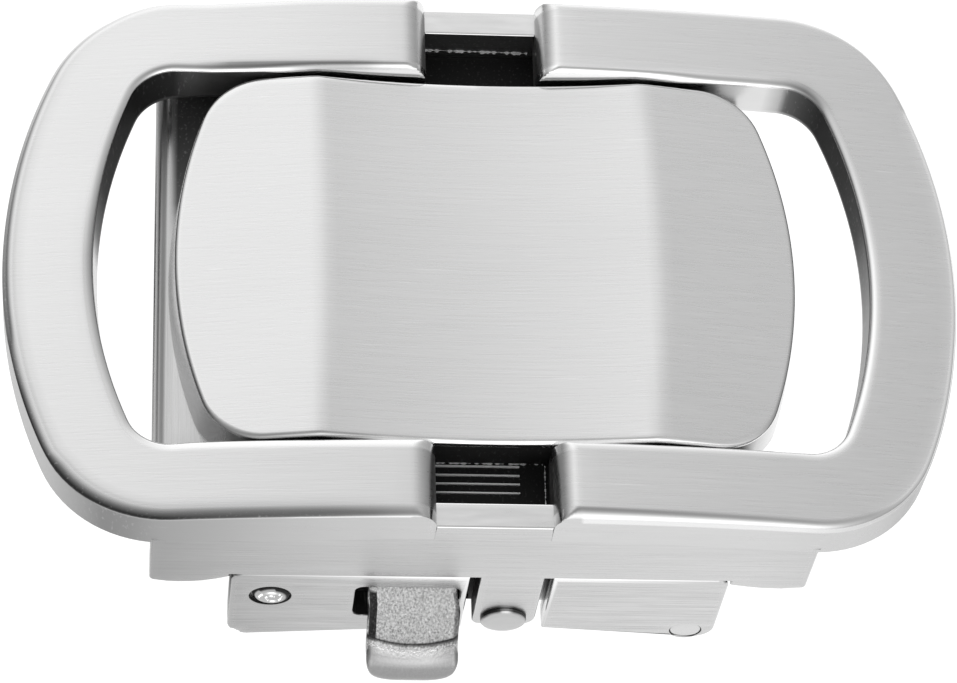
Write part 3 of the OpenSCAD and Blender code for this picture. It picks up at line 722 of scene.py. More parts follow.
def web_floor():
    """The web as one outline in X and Z, repeated along Y. Its front is an arch, its left edge a
    quarter circle behind a groove 0.02 mm deep. Returns points and faces."""
    crown = web_front(WALL_LEFT + 1)
    top_x = np.linspace(WEB_RIGHT, GROOVE_X, 70)
    groove_x = np.array([-21.48, -21.6, -21.7])
    outline = np.concatenate((
        np.column_stack((top_x, web_front(top_x))),
        np.column_stack((groove_x, web_front(groove_x) - (0, 0.02, 0.01))),
        arc(WALL_LEFT + 0.12 + LIP_R, crown - LIP_R, LIP_R, 90, 180, 6),
        [[WALL_LEFT + 0.1, crown - 0.7], [WALL_LEFT, crown - 0.76], [WALL_LEFT, WEB_BACK]],
        np.column_stack((np.linspace(WALL_LEFT + 2, WEB_RIGHT, 8), np.full(8, WEB_BACK))),
    ))
    stations = np.concatenate((np.linspace(-WALL_IN, -13.4, 22), np.linspace(-12.5, 12.5, 34),
                               np.linspace(13.4, WALL_IN, 18)))
    n, m = len(stations), len(outline)
    points = np.empty((n, m, 3))
    points[..., 0], points[..., 2] = outline.T
    points[..., 1] = stations[:, None]
    ends = [list(range(m)), list(range((n - 1) * m, n * m))]
    return points.reshape(-1, 3), grid_quads(n, m) + ends


def seam(start, end, r, phase):
    """Broken line where two faces meet: a four-sided bar between two points, whose radius comes
    and goes with a sum of three sines along it. Its third result marks its points, so that they
    can be painted bright as a highlight."""
    start, end = np.array(start, float), np.array(end, float)
    t = np.linspace(0, 1, max(int(np.linalg.norm(end - start) / 0.06), 6))
    wave = np.sin(23 * t + phase) + np.sin(57 * t + 2 * phase) + np.sin(101 * t + 5 * phase)
    radius = r * np.clip(0.55 + 0.4 * wave, 0.12, 1.25)
    along = unit(end - start)
    across = unit(np.cross(along, (0.3, -0.5, 0.8)))
    square = np.array([across, np.cross(along, across), -across, -np.cross(along, across)])
    centre = start + (end - start) * t[:, None]
    points = centre[:, None] + radius[:, None, None] * square[None]
    n = len(t)
    ends = [[0, 1, 2, 3], [4 * n - 4, 4 * n - 3, 4 * n - 2, 4 * n - 1]]
    return points.reshape(-1, 3), grid_quads(n, 4) + ends, np.ones(4 * n)


def rib(y):
    """Moulded rib along X: a low bar with sloping sides."""
    section = [[y - 0.08, RIB_FOOT], [y - 0.05, RIB_TOP], [y + 0.05, RIB_TOP], [y + 0.08, RIB_FOOT]]
    return slab([section], RIB_LEFT, RIB_RIGHT, 0.03, 0.03, order=(1, 2, 0), steps=2)


points, faces = web_floor()
# The web's front takes its painted shade from web_tone; the faces behind take a light one.
floor_shade = np.where(points[:, 2] > WEB_BACK + 0.9, web_tone(points[:, 0], points[:, 1]), 0.1)
new_piece("web", points, faces, "frame", ["face_frame"], web_satin,
          {"polish": np.zeros(len(points)), "shade": floor_shade}, crease=28)

top = WEB_FRONT + 0.03
points, faces, on_seam = joined(
    *(rib(y) for y in RIB_Y),
    seam((-3.7, 18.1, 5.62), (3.55, 18.1, 5.52), 0.12, 0.4),
    seam((-3.62, 18.0, top), (-3.66, 13.9, top), 0.07, 1.9),
    seam((-3.5, -13.75, top), (3.65, -13.74, top), 0.10, 2.7),
    seam((3.76, -13.9, top), (3.72, -18.0, top), 0.05, 4.1))
# The seams are painted bright and the ribs a little, as highlights.
new_piece("web_ribs", points, faces, "frame", ["face_frame"], bare_cast_painted_bright,
          {"polish": 0 * on_seam, "shade": np.where(on_seam > 0.99, -0.6, -0.1)}, crease=28)

# Centre plate
# The faceted plate in the ring's opening: a separate zinc casting, pressed on to the web, with a
# shallow trough between two soft ridges, brushed along the strap after its edges were rounded.

PLATE = (21.06, 13.76, 32.0, 4.5)  # half length, half width, end radius, corner radius
TROUGH_Z, RIDGE_Z, PLATE_END_Z = 8.2, 9.0, 7.5
RIDGE_X = 11.2
RIDGE_SOFT = 0.035  # how far the ridges are softened
NEAR_OUT = 0.0218  # share by which the near side stands further out
FLARE = 0.33  # how far the wall flares out towards its foot at the plate's ends
RUNGS = 34  # steps of the front from its far side to its near one

plate_satin = brushed("plate_satin", 0.74, 0.29)


def ridge_line(y, side):
    """X of a ridge at height y. The plate's ends were ground across the arch, so each ridge bows
    towards the right a little in the middle."""
    bow = 0.9 if side > 0 else 0.5
    return side * RIDGE_X + bow * (1 - (y / 13.8) ** 2) * 0.8 - 0.3


def plate_front(x, y):
    """Height of the front: a straight slope outside each ridge, a shallow parabola between them,
    and a soft crease, which is a smooth minimum, where they meet."""
    left, right = ridge_line(y, -1), ridge_line(y, 1)
    half = (right - left) / 2
    mid = (right + left) / 2
    trough = TROUGH_Z + (RIDGE_Z - TROUGH_Z) * ((x - mid) / half) ** 2
    slope = (RIDGE_Z - PLATE_END_Z) / (PLATE[0] - RIDGE_X)
    ends = np.minimum(RIDGE_Z - slope * (x - right), RIDGE_Z + slope * (x - left))
    return 0.5 * (trough + ends - np.sqrt((trough - ends) ** 2 + RIDGE_SOFT**2))


def plate_line(inset):
    """Closed outline of the plate, drawn in by inset."""
    half = half_outline(PLATE, -inset, (0.0,), (26, 12, 20))
    return np.vstack((half, (half * (-1, 1))[-2:0:-1]))


def plate_tones(x, y, near, far):
    """Painted shade and highlight of the plate's wall, of its rounded edge and of its foot along
    the outline, for the dark and bright reflections there. Near and far are 1 along the two long
    sides."""
    left_wall = tint(y, (-14, 0.4), (-9, 0.25), (0, 0.2), (8, 0.3), (12, 0.6))
    near_wall = tint(x, (-19, 0.3), (-16, 0.6), (-13, 0.93), (15, 0.93), (18, 0.4), (20, 0.1))
    wall = near * near_wall + far * 0.3 + (1 - near - far) * np.where(x < 0, left_wall, 0.1)
    left_round = tint(y, (-13, 0.6), (-4, 0.62), (3, 0.45), (8, 0.15), (13, 0))
    near_round = tint(x, (-18, 0.5), (-9, 0.35), (-7, -0.3), (-4, -0.5), (5, -0.5), (20, -0.4))
    rounding = near * near_round + (1 - near) * np.where(x < 0, left_round, 0.2)
    return wall, rounding, np.where(np.abs(x) > 13, -0.3, 0.9)


def plate_rows():
    """Closed rows of the plate, one for each step of the edge: seat, foot, flared wall, elliptical
    round, front. At angle t the round is drawn in by r (1 - cos t) and lowered by d (1 - sin t).
    r is larger along both long sides, and d along the near one, which stands a little further
    out. Returns the rows, their polish and their shade."""
    line = plate_line(0)
    inward = plate_line(1) - line
    near = np.clip(-(line[:, 1] + 11) / 2, 0, 1)
    far = np.clip((line[:, 1] - 11) / 2, 0, 1)
    stretch = 1 + NEAR_OUT * np.clip(-line[:, 1] / 6, 0, 1)
    edge = line * np.column_stack((np.ones(len(line)), stretch))
    x, y = edge.T
    r = 0.26 + 0.16 * near + 0.25 * far
    d = 0.22 + near * tint(np.abs(x), (0, 0.22), (9, 0.34), (13, 0.22), (18, 0))
    base = line - inward * (FLARE * (1 - near) * (1 - far))[:, None]
    seat = web_front(base[:, 0]) + 0.04
    wall, rounding, foot = plate_tones(x, y, near, far)
    rows = [
        (base + 0.9 * inward, seat, 0.3, wall),
        (base, seat, 1, foot),
        (base, seat + 0.1, 1, foot),
        (base * 0.95 + edge * 0.05, seat + 0.22, 0.3, wall),
        (edge, plate_front(x, y) - d - 0.06, 0.3, wall),
    ]
    for t in np.radians(np.linspace(0, 90, 10)):
        xy = edge + inward * (r * (1 - math.cos(t)))[:, None]
        fade = math.cos(t) ** 0.5 if t < 1.55 else 0.0
        z = plate_front(*xy.T) - d * (1 - math.sin(t))
        rows.append((xy, z, 0.8 if t < 1.2 else 0.2, fade * rounding))
    xy = edge + inward * (r + 0.2)[:, None]
    rows.append((xy, plate_front(*xy.T), 0.0, 0 * x))
    return ([np.column_stack((xy, z)) for xy, z, _, _ in rows],
            [np.full(len(xy), polish) for xy, _, polish, _ in rows],
            [shade for *_, shade in rows])


def plate_mesh():
    """The rows of the edge, and the front filled with rungs from its far long side to its near
    one, with one face at each end and one below. Returns points, faces, polish and shade."""
    rows, polish, shade = plate_rows()
    n, m = len(rows), len(rows[0])
    half = m // 2
    across = np.arange(1 - half // 2, half // 2)
    far, near = across % m, (half - across) % m
    part = np.linspace(0, 1, RUNGS + 1)[1:-1, None, None]
    front = rows[-1][far] * (1 - part) + rows[-1][near] * part
    front[..., 2] = plate_front(front[..., 0], front[..., 1])
    inner = np.arange(front[..., 0].size).reshape(front.shape[:2])
    last = (n - 1) * m
    ladder = np.vstack((last + far, n * m + inner, last + near))
    corners = (ladder[:-1, :-1], ladder[:-1, 1:], ladder[1:, 1:], ladder[1:, :-1])
    right = last + np.arange(half - across[-1] - 1, across[-1], -1) % m
    left = last + np.arange(half - across[0] + 1, m + across[0]) % m
    faces = grid_quads(n, m) + np.stack(corners, -1).reshape(-1, 4).tolist()
    faces += [np.append(ladder[:, -1], right).tolist(), np.append(ladder[:, 0], left).tolist()]
    bare = np.zeros(inner.size)
    return (np.concatenate(rows + [front.reshape(-1, 3)]), faces + [list(range(m))],
            np.concatenate(polish + [bare]), np.concatenate(shade + [bare]))


points, faces, polish, shade = plate_mesh()
new_piece("centre_plate_front", points, faces, "frame", ["centre_plate"],
          plate_satin, {"polish": polish, "shade": shade}, crease=50)

# Rear bracket
# One casting behind the walls: two ears on each side, flush with the walls, the stepped floor
# that joins them, and a lug behind each tab. The near left ear has the lever's window.

LEVER_PIN, CLAMP_PIN = (-14.2, -3.25), (14.65, -8.05)  # X and Z
LEFT_EAR, RIGHT_EAR = (-16.92, -0.92), (4.63, 16.6)  # X from left to right
LEFT_SLOPE, RIGHT_SLOPE = 6.3, 6.5  # degrees of the ears' rear edges
EAR_GAP, EAR_INNER_Z = 0.08, -7.96
EAR_TOP_R, EAR_R = 0.8, 1.5  # upper and lower outer corners
SINK_R, HEAD_HOLE_R = 1.4, 1.08  # round holes for the staked end and the flush head
STEP_X, LUG_X = -1.2, 6.5  # where the floor steps down, and the lugs' right side
FLOOR_T = 0.8
FLOOR_Z = -WEB_BACK - FLOOR_T  # back of the floor to the right of the step
REAR_Z = EAR_INNER_Z + 0.12  # the same just to the left of it
REAR_LEFT = -16.2
LUG_OUT, LUG_IN = WALL_IN - 0.24, WALL_IN - 1.14
JOIN = WALL_IN + 0.3  # how far the floor reaches into the ears
SKIN = 0.5  # layer of the floor that shows behind the near tab

bracket_satin = brushed("bracket_satin", 0.63, 0.30, stretch=(1, 0.12, 1.8), vary=0.8)


def ear(outer, inner, slope, side):
    """Ear in X and Z: rounded upper outer corner, straight sides, and a rear edge that slopes
    down from the tab to a larger rounded corner."""
    z = EAR_INNER_Z - abs(outer - inner) * math.tan(math.radians(slope))
    top = arc(outer - side * EAR_TOP_R, -EAR_GAP - EAR_TOP_R, EAR_TOP_R, 90 - side * 90, 90, 6)
    low = arc(outer - side * EAR_R, z + EAR_R * 1.12, EAR_R, 270 + side * slope,
              270 + side * 90, 10)
    return np.concatenate((top, [[inner, -EAR_GAP], [inner, EAR_INNER_Z]], low))


left_line = ear(LEFT_EAR[0], LEFT_EAR[1], LEFT_SLOPE, -1)
right_line = ear(RIGHT_EAR[1], RIGHT_EAR[0], RIGHT_SLOPE, 1)
window = np.concatenate([arc(x, z, 0.65, turn, turn + 90, 6) for x, z, turn in (
    (-2.1, -2.35, 0), (-7.85, -2.35, 90), (-7.85, -5.55, 180), (-2.1, -5.55, 270))])
lever_bore, clamp_bore = circle(LEVER_PIN, PIN_BORE_R, 24), circle(CLAMP_PIN, PIN_BORE_R, 24)


def ears():
    """The four ears. The near ones are two layers each, because the sink round the lever's pin
    and the hole for the clamp pin's head are wider than the bores behind them."""
    sink, head_hole = circle(LEVER_PIN, SINK_R, 36), circle(CLAMP_PIN, HEAD_HOLE_R, 36)
    sink_y, head_y = -WALL_OUT + 0.5, -WALL_OUT + 0.93
    left, right = (np.where(line[:, 1] > -0.3, 0.42, 0.2) for line in (left_line, right_line))
    return [
        slab([left_line, window, sink], -WALL_OUT, sink_y, [left, 0.12, 0.06], 0.0, fill=0.9),
        slab([left_line, window, lever_bore], sink_y, -WALL_IN, 0.0, 0.1),
        slab([right_line, head_hole], -WALL_OUT, head_y, [right, 0.1], 0.0, fill=0.9),
        slab([right_line, clamp_bore], head_y, -WALL_IN, 0.0, 0.1),
        slab([left_line, lever_bore], WALL_IN, WALL_OUT, 0.1, 0.22),
        slab([right_line, clamp_bore], WALL_IN, WALL_OUT, 0.1, 0.22),
    ]


def block(x0, x1, z0, z1, y0, y1):
    """Plain bar with softened ends."""
    return slab([[[x0, z0], [x1, z0], [x1, z1], [x0, z1]]], y0, y1, 0.08, 0.08, steps=2)


def rear_floor(right):
    """Sloping rear part of the floor in X and Z, from its right end to the ears' outer end."""
    drop = (STEP_X - REAR_LEFT) * math.tan(math.radians(LEFT_SLOPE))
    return [[right, REAR_Z], [right, REAR_Z + FLOOR_T], [STEP_X, REAR_Z + FLOOR_T],
            [REAR_LEFT, REAR_Z - drop + FLOOR_T], [REAR_LEFT, REAR_Z - drop], [STEP_X, REAR_Z]]


def bracket_floor():
    """What joins the ears: a dark block behind each outer corner of the near ones, which stands in
    for shade seen through the gap there, the stepped floor with its skin, and the lugs."""
    floor, step = (FLOOR_Z, FLOOR_Z + FLOOR_T), (STEP_X, STEP_X + FLOOR_T, REAR_Z, -WEB_BACK)
    outer = ((LEFT_EAR[0] - 0.08, LEFT_EAR[0] + 1.4), (RIGHT_EAR[1] - 1.4, RIGHT_EAR[1] + 0.08))
    lug = [[STEP_X, EAR_INNER_Z], [LUG_X, EAR_INNER_Z], [LUG_X, -WEB_BACK], [STEP_X, -WEB_BACK]]
    return [
        # Painted shade: dark blocks behind the near ears' outer corners, seen through the gap.
        *(block(a, b, -1.0, -0.06, -WALL_IN - 0.5, -WALL_IN - 0.1) for a, b in outer),
        block(STEP_X, LUG_X, *floor, -LUG_OUT, -LUG_OUT + SKIN),
        block(*step, -LUG_OUT, -LUG_OUT + SKIN),
        block(STEP_X, LUG_X, *floor, -LUG_OUT + SKIN, LUG_OUT),
        block(RIGHT_EAR[0] + 0.3, RIGHT_EAR[1] - 0.3, *floor, -JOIN, JOIN),
        block(*step, -LUG_OUT + SKIN, LUG_OUT),
        slab([rear_floor(STEP_X + FLOOR_T)], -LUG_OUT, LUG_OUT, 0.0, 0.0),
        slab([rear_floor(LEFT_EAR[1] - 0.1)], -JOIN, JOIN, 0.0, 0.0),
        slab([lug, bore], -LUG_OUT, -LUG_IN, 0.08, 0.08),
        slab([lug, bore], LUG_IN, LUG_OUT, 0.08, 0.08),
    ]


def bracket_tone(x, y, z):
    """Painted shade and highlight of the bracket: the near ears with a little more painted shade
    than the walls, painted highlights along their upper edges, and painted shade in the window,
    in the round holes, on the left end, behind the tab and in the outer corners."""
    near = y < 0
    shade = np.where(y < -WALL_OUT + 0.25, near_painted_shade(x) + 0.05, 0.12)
    mid_x, mid_z = window.mean(0)
    in_window = (np.abs(x - mid_x) < 3.7) & (np.abs(z - mid_z) < 2.5)
    shade = np.where(in_window & (y > -WALL_OUT + 0.05) & near, 0.93, shade)
    in_head_hole = np.hypot(x - CLAMP_PIN[0], z - CLAMP_PIN[1]) < HEAD_HOLE_R + 0.04
    in_sink = np.hypot(x - LEVER_PIN[0], z - LEVER_PIN[1]) < SINK_R + 0.05
    shade = np.where((in_head_hole | in_sink) & (y < -WALL_OUT + 0.35), 0.93, shade)
    left_end = (x < LEFT_EAR[0] + 0.2) & (y > -WALL_OUT + 0.06) & near
    shade = np.where(left_end, tint(z, (-8, 0.5), (-2, 0.75), (-0.9, 0.95)), shade)
    behind = (y > -WALL_OUT + 0.15) & (y < -LUG_OUT + SKIN + 0.01)
    gap_tone = tint(z, (-8, 0.4), (-4.5, 0.5), (-2.5, 0.9), (0, 0.95))
    # Painted shade on the right ear's end beside the tab, and on the floor and skin behind the tab.
    shade = np.where(behind & (np.abs(x - RIGHT_EAR[0]) < 0.05), gap_tone, shade)
    shade = np.where(behind & (x > STEP_X - 0.1) & (x < RIGHT_EAR[0] - 0.06), 0.95, shade)
    corner_y = (y < -WALL_IN) & (y > -WALL_IN - 0.52)
    shade = np.where(corner_y & (z > -1.2) & (np.abs(x) > 15), 0.96, shade)
    upper_edge = (y < -WALL_OUT + 0.45) & (z > -0.38) & (x > -16) & (x < 15.3)
    return np.where(upper_edge, -0.3, shade)


points, faces, polish = joined(*ears(), *bracket_floor())
new_piece("rear_casting", points, faces, "frame", ["rear_bracket"],
          bracket_satin, {"polish": polish, "shade": bracket_tone(*points.T)})

# Pins
# Three turned steel pins, nickel plated: a domed head on the one through the tabs, a riveted end
# with a spiral burr on the lever's pin, and a flush slotless head on the clamp's pin.

SHANK = [(0.7, 20.0), (0.05, 20.0)]  # radius and Y, like the three heads
DOMED_HEAD = [(0.05, -20.42), (0.9, -20.415), (1.2, -20.40), (1.4, -20.36), (1.5, -20.3),
              (1.57, -20.22), (1.57, -20.02), (0.7, -20.0)]
STAKED_END = [(0.05, -20.13), (0.5, -20.13), (0.85, -20.12), (1.02, -20.08), (1.14, -20.0),
              (1.2, -19.9), (1.22, -19.74), (0.7, -19.72)]
FLUSH_HEAD = [(0.05, -20.0), (0.8, -20.0), (0.97, -19.985), (1.05, -19.93), (1.05, -19.1),
              (0.7, -19.1)]
RIVET_SHIFT = 0.12  # how far the staked end was pressed to the right

pin_metal = brushed("pin_metal", 0.60, 0.24, stretch=(9, 9, 9), depth=0.3)


def turned(head, centre, segments=48):
    """Lathe about an axis along Y: the head and the shank, as radius and Y, carried round the
    centre in X and Z. A flat face closes each end."""
    r, y = np.array(head + SHANK).T[..., None]
    t = np.linspace(0, 2 * np.pi, segments, endpoint=False)
    points = np.stack((centre[0] + r * np.cos(t), y + 0 * t, centre[1] + r * np.sin(t)), -1)
    n = len(r)
    ends = [list(range(segments)), list(range((n - 1) * segments, n * segments))]
    return points.reshape(-1, 3), grid_quads(n, segments) + ends, np.zeros(n * segments)


def burr(centre, y, r, turns, thick, steps=70):
    """Raised spiral left by the riveting tool: a three-sided bar whose middle runs at a radius
    that grows from a quarter of r to r."""
    t = np.linspace(0, 1, steps)
    angle = 2 * np.pi * turns * t + 0.6
    at = r * (0.25 + 0.75 * t)
    x, z = np.cos(angle), np.sin(angle)
    sides = [np.column_stack((centre[0] + (at + d) * x, np.full(steps, y + h),
                              centre[1] + (at + d) * z))
             for d, h in ((-thick, 0.03), (0, -thick), (thick, 0.03))]
    ends = [[0, 1, 2], [3 * steps - 3, 3 * steps - 2, 3 * steps - 1]]
    points = np.stack(sides, 1).reshape(-1, 3)
    return points, grid_quads(steps, 3) + ends, np.ones(3 * steps)


points, faces, polish = turned(DOMED_HEAD, CENTRE_PIN)
from_axis = points[:, 0] - CENTRE_PIN[0], points[:, 2] - CENTRE_PIN[1]
# Painted shade round the dome's rim, lighter near its top as a painted highlight, and a little
# painted shade on its face.
rim_tone = tint(np.degrees(np.arctan2(*from_axis[::-1])), (0, 0.6), (20, 0.85), (70, 0.85),
                (82, 0.1), (95, 0.1), (106, 0.9), (150, 0.95), (180, 0.6))
rim = np.hypot(*from_axis) > 1.45
shade = np.where(rim, np.where(points[:, 1] > -20.25, rim_tone, 0.5 * rim_tone), 0.22)
new_piece("headed_pin", points, faces, "frame", ["centre_pin"], pin_metal,
          {"polish": polish, "shade": shade})

body = turned(STAKED_END, LEVER_PIN)
spiral = burr((LEVER_PIN[0] + RIVET_SHIFT, LEVER_PIN[1]), -20.13, 0.85, 1.4, 0.1)
body[0][:, 0] += RIVET_SHIFT * (body[0][:, 1] < -19.8)
points, faces, polish = joined(body, spiral)
reach = np.hypot(body[0][:, 0] - LEVER_PIN[0], body[0][:, 2] - LEVER_PIN[1])
# Painted shade round the staked end's rim and a little on its face, and the burr painted bright.
shade = np.concatenate((np.where(reach > 1.05, 0.93, 0.35), np.full(len(spiral[0]), -0.6)))
new_piece("riveted_pin", points, faces, "frame", ["lever_pin"], pin_metal,
          {"polish": polish, "shade": shade})

points, faces, polish = turned(FLUSH_HEAD, CLAMP_PIN)
new_piece("flush_pin", points, faces, "frame", ["clamp_pin"], pin_metal,
          {"polish": polish, "shade": polish + 0.02})

# Release lever
# Pawl plate with one tooth behind the strap, and the finger pad that comes out of the window: one
# zinc casting. Its pad is left pebbled from the mould, and its lip is worn smooth, with a
# painted highlight on its upper side and painted shade in the hollow above it.

PAD_LEFT, PAD_RIGHT = -7.62, -1.54
PAD_MID, PAD_HALF = (PAD_LEFT + PAD_RIGHT) / 2, (PAD_RIGHT - PAD_LEFT) / 2
PAD_SIDE_R, PAD_END_R = 0.4, 2.2  # rounding of its sides and of its lower corners
LIP = (-22.74, -7.9, 1.2)  # Y, Z and radius of the lip
BARREL_R, PAWL_T, PAWL_HALF = 1.1, 1.7, 17.6

lever_cast = brushed("lever_cast", 0.52, 0.30, stretch=(1.6, 1, 1), depth=0.2, pebble=1.0)


def pad_section():
    """Middle section of the pad in Y and Z: top, flat plane, hollow, round lip, and the back down
    to the plate. The second result marks the points in front, up to the lip's end."""
    top = [[-17.1, -2.16], [-18.6, -2.08], [-19.2, -2.04], [-19.5, -2.08], [-19.72, -2.2]]
    plane = np.linspace([-19.85, -2.38], [-22.02, -5.68], 16)
    dip = [[-22.14, -5.88], [-22.22, -6.04], [-22.32, -6.14], [-22.5, -6.22], [-22.75, -6.32],
           [-23.1, -6.5], [-23.45, -6.8], [-23.68, -7.1]]
    front = np.concatenate((top, plane, dip, arc(*LIP, 152, 262, 16)))
    behind = [[-22.3, -9.02], [-21.95, -8.8], [-21.65, -8.2], [-21.45, -7.2], [-21.1, -6.3],
              [-20.6, -5.2], [-20.35, -4.6], [-20.3, -4.05], [-20.1, -3.87], [-18.6, -3.85],
              [-17.1, -3.85]]
    return np.concatenate((front, behind)), np.arange(len(front) + len(behind)) < len(front)


def pad_tone(a, k, front):
    """Painted shade and highlight of one section of the pad, at a from its middle: painted shade
    on the plane's side edges, in the hollow and down the lip, and a painted highlight on the
    lip's upper side. k counts the section's points: the flat plane ends at 20, and the hollow
    and the lip follow."""
    # Painted shade down the plane's left edge, less on its right.
    edge = 0.9 if -PAD_HALF + 0.1 < a < -PAD_HALF + 0.58 else (0.6 if a > PAD_HALF - 0.3 else 0.0)
    # Painted dark crease in the hollow.
    hollow = 0.93 * np.exp(-((k - 22.3) / 1.0) ** 4)
    spot = (k - 24.5 - 0.3 * a / PAD_HALF) / 1.2
    fade = tint(a / PAD_HALF, (-1, 0), (-0.75, 1), (0.3, 1), (0.9, 0.3))
    # Painted highlight on the lip's upper side, fading towards the right.
    painted_glint = -1.7 * np.exp(-spot**2) * fade
    # Painted shade down the lip.
    lip = 0.45 * np.clip((k - 23.5) / 1.5, 0, 1)
    plane_edge = edge * (k < 24) * (k > 5)
    return np.where(front, np.maximum(hollow, plane_edge) + painted_glint + lip, 0.3)


def quarter_drop(radius, past):
    """How far a quarter circle has fallen at a distance past its start."""
    return radius - math.sqrt(max(radius * radius - max(past, 0) ** 2, 0))


def finger_pad():
    """Pad as sections in Y and Z, one at each X. Towards both sides the section is drawn in along
    a small quarter circle, its lower end rises along a larger one, and the hollow over the lip
    climbs with the square of X. Returns points, faces, polish and shade."""
    loop, front = pad_section()
    n = len(loop)
    k = np.arange(n)
    way = -1 if signed_area(loop) < 0 else 1
    side = PAD_HALF - PAD_SIDE_R * (1 - np.sin(np.radians(np.linspace(0, 90, 7))))
    middle = np.linspace(-PAD_HALF + 0.8, PAD_HALF - PAD_SIDE_R, 17)[:-1]
    across = np.concatenate((-side[::-1], (-PAD_HALF + 0.56, -PAD_HALF + 0.6), middle, side))
    rings, shades = [], []
    for a in across:
        draw = quarter_drop(PAD_SIDE_R, abs(a) - (PAD_HALF - PAD_SIDE_R))
        rise = quarter_drop(PAD_END_R, abs(a) - (PAD_HALF - PAD_END_R))
        yz = drawn_in(loop[::way], np.full(n, draw))[::way]
        low = np.clip((-6.6 - yz[:, 1]) / 2.5, 0, 1)
        yz = yz + np.column_stack((0.12 * rise * low, 0.9 * rise * low))
        by_hollow = np.clip(1 - np.abs(yz[:, 1] + 6.1) / 1.9, 0, 1)
        climb = 0.7 * (a / PAD_HALF) ** 2 * by_hollow * front
        yz = yz + climb[:, None] * (0.547, 0.837)
        out = np.clip((-yz[:, 0] - 20.05) / 0.4, 0, 1)
        x = PAD_MID + a + out * (0.15 + 0.08 * a / PAD_HALF)
        rings.append(np.column_stack((x, yz)))
        shades.append(pad_tone(a, k, front))
    m = len(across)
    ends = [list(range(n)), list(range((m - 1) * n, m * n))]
    smooth = np.where(front & (k > 24), np.clip((k - 23.5) / 2, 0, 0.9), 0)
    return (np.concatenate(rings), grid_quads(m, n) + ends, np.tile(smooth, m),
            np.concatenate(shades))


def pawl():
    """The rest of the lever behind the ear: barrel round the pin, flat plate, and tooth."""
    top = LEVER_PIN[1] + BARREL_R
    back = top - PAWL_T + 0.05
    plate = [[LEVER_PIN[0] + 0.9, back], [PAD_RIGHT, back], [PAD_RIGHT, top],
             [LEVER_PIN[0] + 0.4, top]]
    tooth = [[-5.2, top - 0.1], [-3, top - 0.1], [-3, top + 1.25], [-3.3, top + 1.25]]
    return [
        slab([circle(LEVER_PIN, BARREL_R, 36), lever_bore], -PAWL_HALF, PAWL_HALF, 0.1, 0.1),
        slab([plate], -PAWL_HALF, PAWL_HALF, 0.1, 0.1, steps=2),
        slab([tooth], -6, 6, 0.05, 0.05, steps=2),
    ]


*pad, pad_shade = finger_pad()
points, faces, polish = joined(pad, *pawl())
polish[:pad_shade.size] = pad[2]
shade = np.append(pad_shade, np.full(len(points) - pad_shade.size, 0.15))
new_piece("lever_body", points, faces, "lever", ["release_lever"], lever_cast,
          {"polish": polish, "shade": shade})

# Strap clamp
# Toothed flap that bites the strap's fixed end: a plain nickel plated casting that turns on its
# own pin. It is hidden in the photo, so the CAD's own node stays and only gets this finish.

clamp_steel = brushed("clamp_steel", 0.60, 0.34)
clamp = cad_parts["strap_clamp"]
clamp.data.materials.clear()
clamp.data.materials.append(clamp_steel)

# Camera, floor and light
# Plain pale floor under the buckle, a soft light made of a few wide lobes round it, and the
# photograph's view.

FLOOR_HALF = 1.5  # metres
FLOOR_DROP = 0.00002
# Direction, narrowness and strength of each lobe. A negative strength darkens that side.
LOBES = (
    ((0, 0, 1), 0.0, 0.55),
    ((-0.35, 0.6, 0.75), 6.0, 0.75),
    ((0.05, 1.0, 0.05), 8.0, 0.7),
    ((0.1, -0.87, 0.42), 9.0, 1.3),
    ((0.95, 0.3, 0.1), 5.0, -0.16),
    ((0.5, 0.75, 0.4), 6.0, 0.09),
    ((-1.0, 0.2, 0.15), 7.0, -0.45),
    ((-0.1, -0.05, 1.0), 9.0, -0.3),
)
LEAST_LIGHT = 0.03
# The view fitted to the photo: lens and sensor in mm, place in metres, roll in degrees.
LENS, SENSOR, ROLL_ANGLE = 148.33, 36, 10.884
CAMERA_AT = (-0.025233, -0.130836, 0.238518)
CAMERA_BACK = (-0.09295, -0.47317, 0.87605)

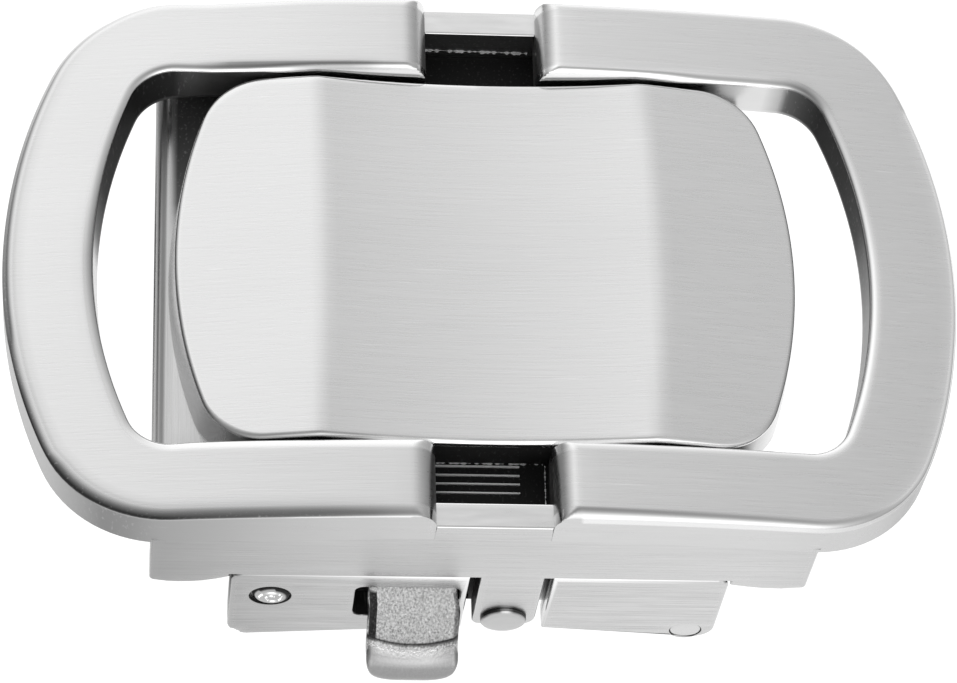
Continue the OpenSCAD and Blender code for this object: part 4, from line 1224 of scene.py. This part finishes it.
floor_paper = bpy.data.materials.new("studio_floor")
floor_paper.use_nodes = True
shader = floor_paper.node_tree.nodes["Principled BSDF"]
for name, value in (("Base Color", (0.3, 0.3, 0.3, 1)), ("Roughness", 1.0),
                    ("Specular IOR Level", 0.0), ("Emission Color", (1, 1, 1, 1)),
                    ("Emission Strength", 0.97)):
    shader.inputs[name].default_value = value
level = cad_box[0][2] - FLOOR_DROP
corners = [(x * FLOOR_HALF, y * FLOOR_HALF, level) for x, y in ((-1, -1), (1, -1), (1, 1), (-1, 1))]
sheet = bpy.data.meshes.new("studio_floor")
sheet.from_pydata(corners, [], [(0, 1, 2, 3)])
sheet.materials.append(floor_paper)
floor = bpy.data.objects.new("studio_floor", sheet)
bpy.context.scene.collection.objects.link(floor)

world = bpy.data.worlds.new("soft_studio")
world.use_nodes = True
bpy.context.scene.world = world
add, link = world.node_tree.nodes.new, world.node_tree.links.new
where = add("ShaderNodeTexCoord")


def maths(operation, first, second=None):
    """Maths node of the world: an operation on a socket and on a second socket or number."""
    node = add("ShaderNodeMath")
    node.operation = operation
    link(first, node.inputs[0])
    if isinstance(second, float):
        node.inputs[1].default_value = second
    elif second:
        link(second, node.inputs[1])
    return node.outputs[0]


def lobe(direction, width, strength):
    """Soft patch of light: strength times exp(width (cos angle - 1)) about a direction."""
    dot = add("ShaderNodeVectorMath")
    dot.operation = "DOT_PRODUCT"
    dot.inputs[1].default_value = Vector(direction).normalized()
    link(where.outputs["Generated"], dot.inputs[0])
    power = maths("MULTIPLY", maths("SUBTRACT", dot.outputs["Value"], 1.0), width)
    return maths("MULTIPLY", maths("EXPONENT", power), strength)


light = lobe(*LOBES[0])
for patch in LOBES[1:]:
    light = maths("ADD", light, lobe(*patch))
backdrop = world.node_tree.nodes["Background"]
link(maths("MAXIMUM", light, LEAST_LIGHT), backdrop.inputs["Strength"])
backdrop.inputs["Color"].default_value = (1, 1, 1, 1)

camera_data = bpy.data.cameras.new("photo_view")
camera_data.lens = LENS
camera_data.sensor_width = SENSOR
camera_data.clip_start = 0.01
camera_data.clip_end = 10
camera = bpy.data.objects.new("photo_view", camera_data)
bpy.context.scene.collection.objects.link(camera)
back = Vector(CAMERA_BACK).normalized()
level_right = Vector((0, 0, 1)).cross(back).normalized()
level_up = back.cross(level_right)
roll = math.radians(ROLL_ANGLE)
right = math.cos(roll) * level_right + math.sin(roll) * level_up
up = math.cos(roll) * level_up - math.sin(roll) * level_right
place = Matrix((right, up, back)).transposed().to_4x4()
place.translation = CAMERA_AT
camera.matrix_world = place
bpy.context.scene.camera = camera
bpy.context.scene.view_settings.view_transform = "Standard"
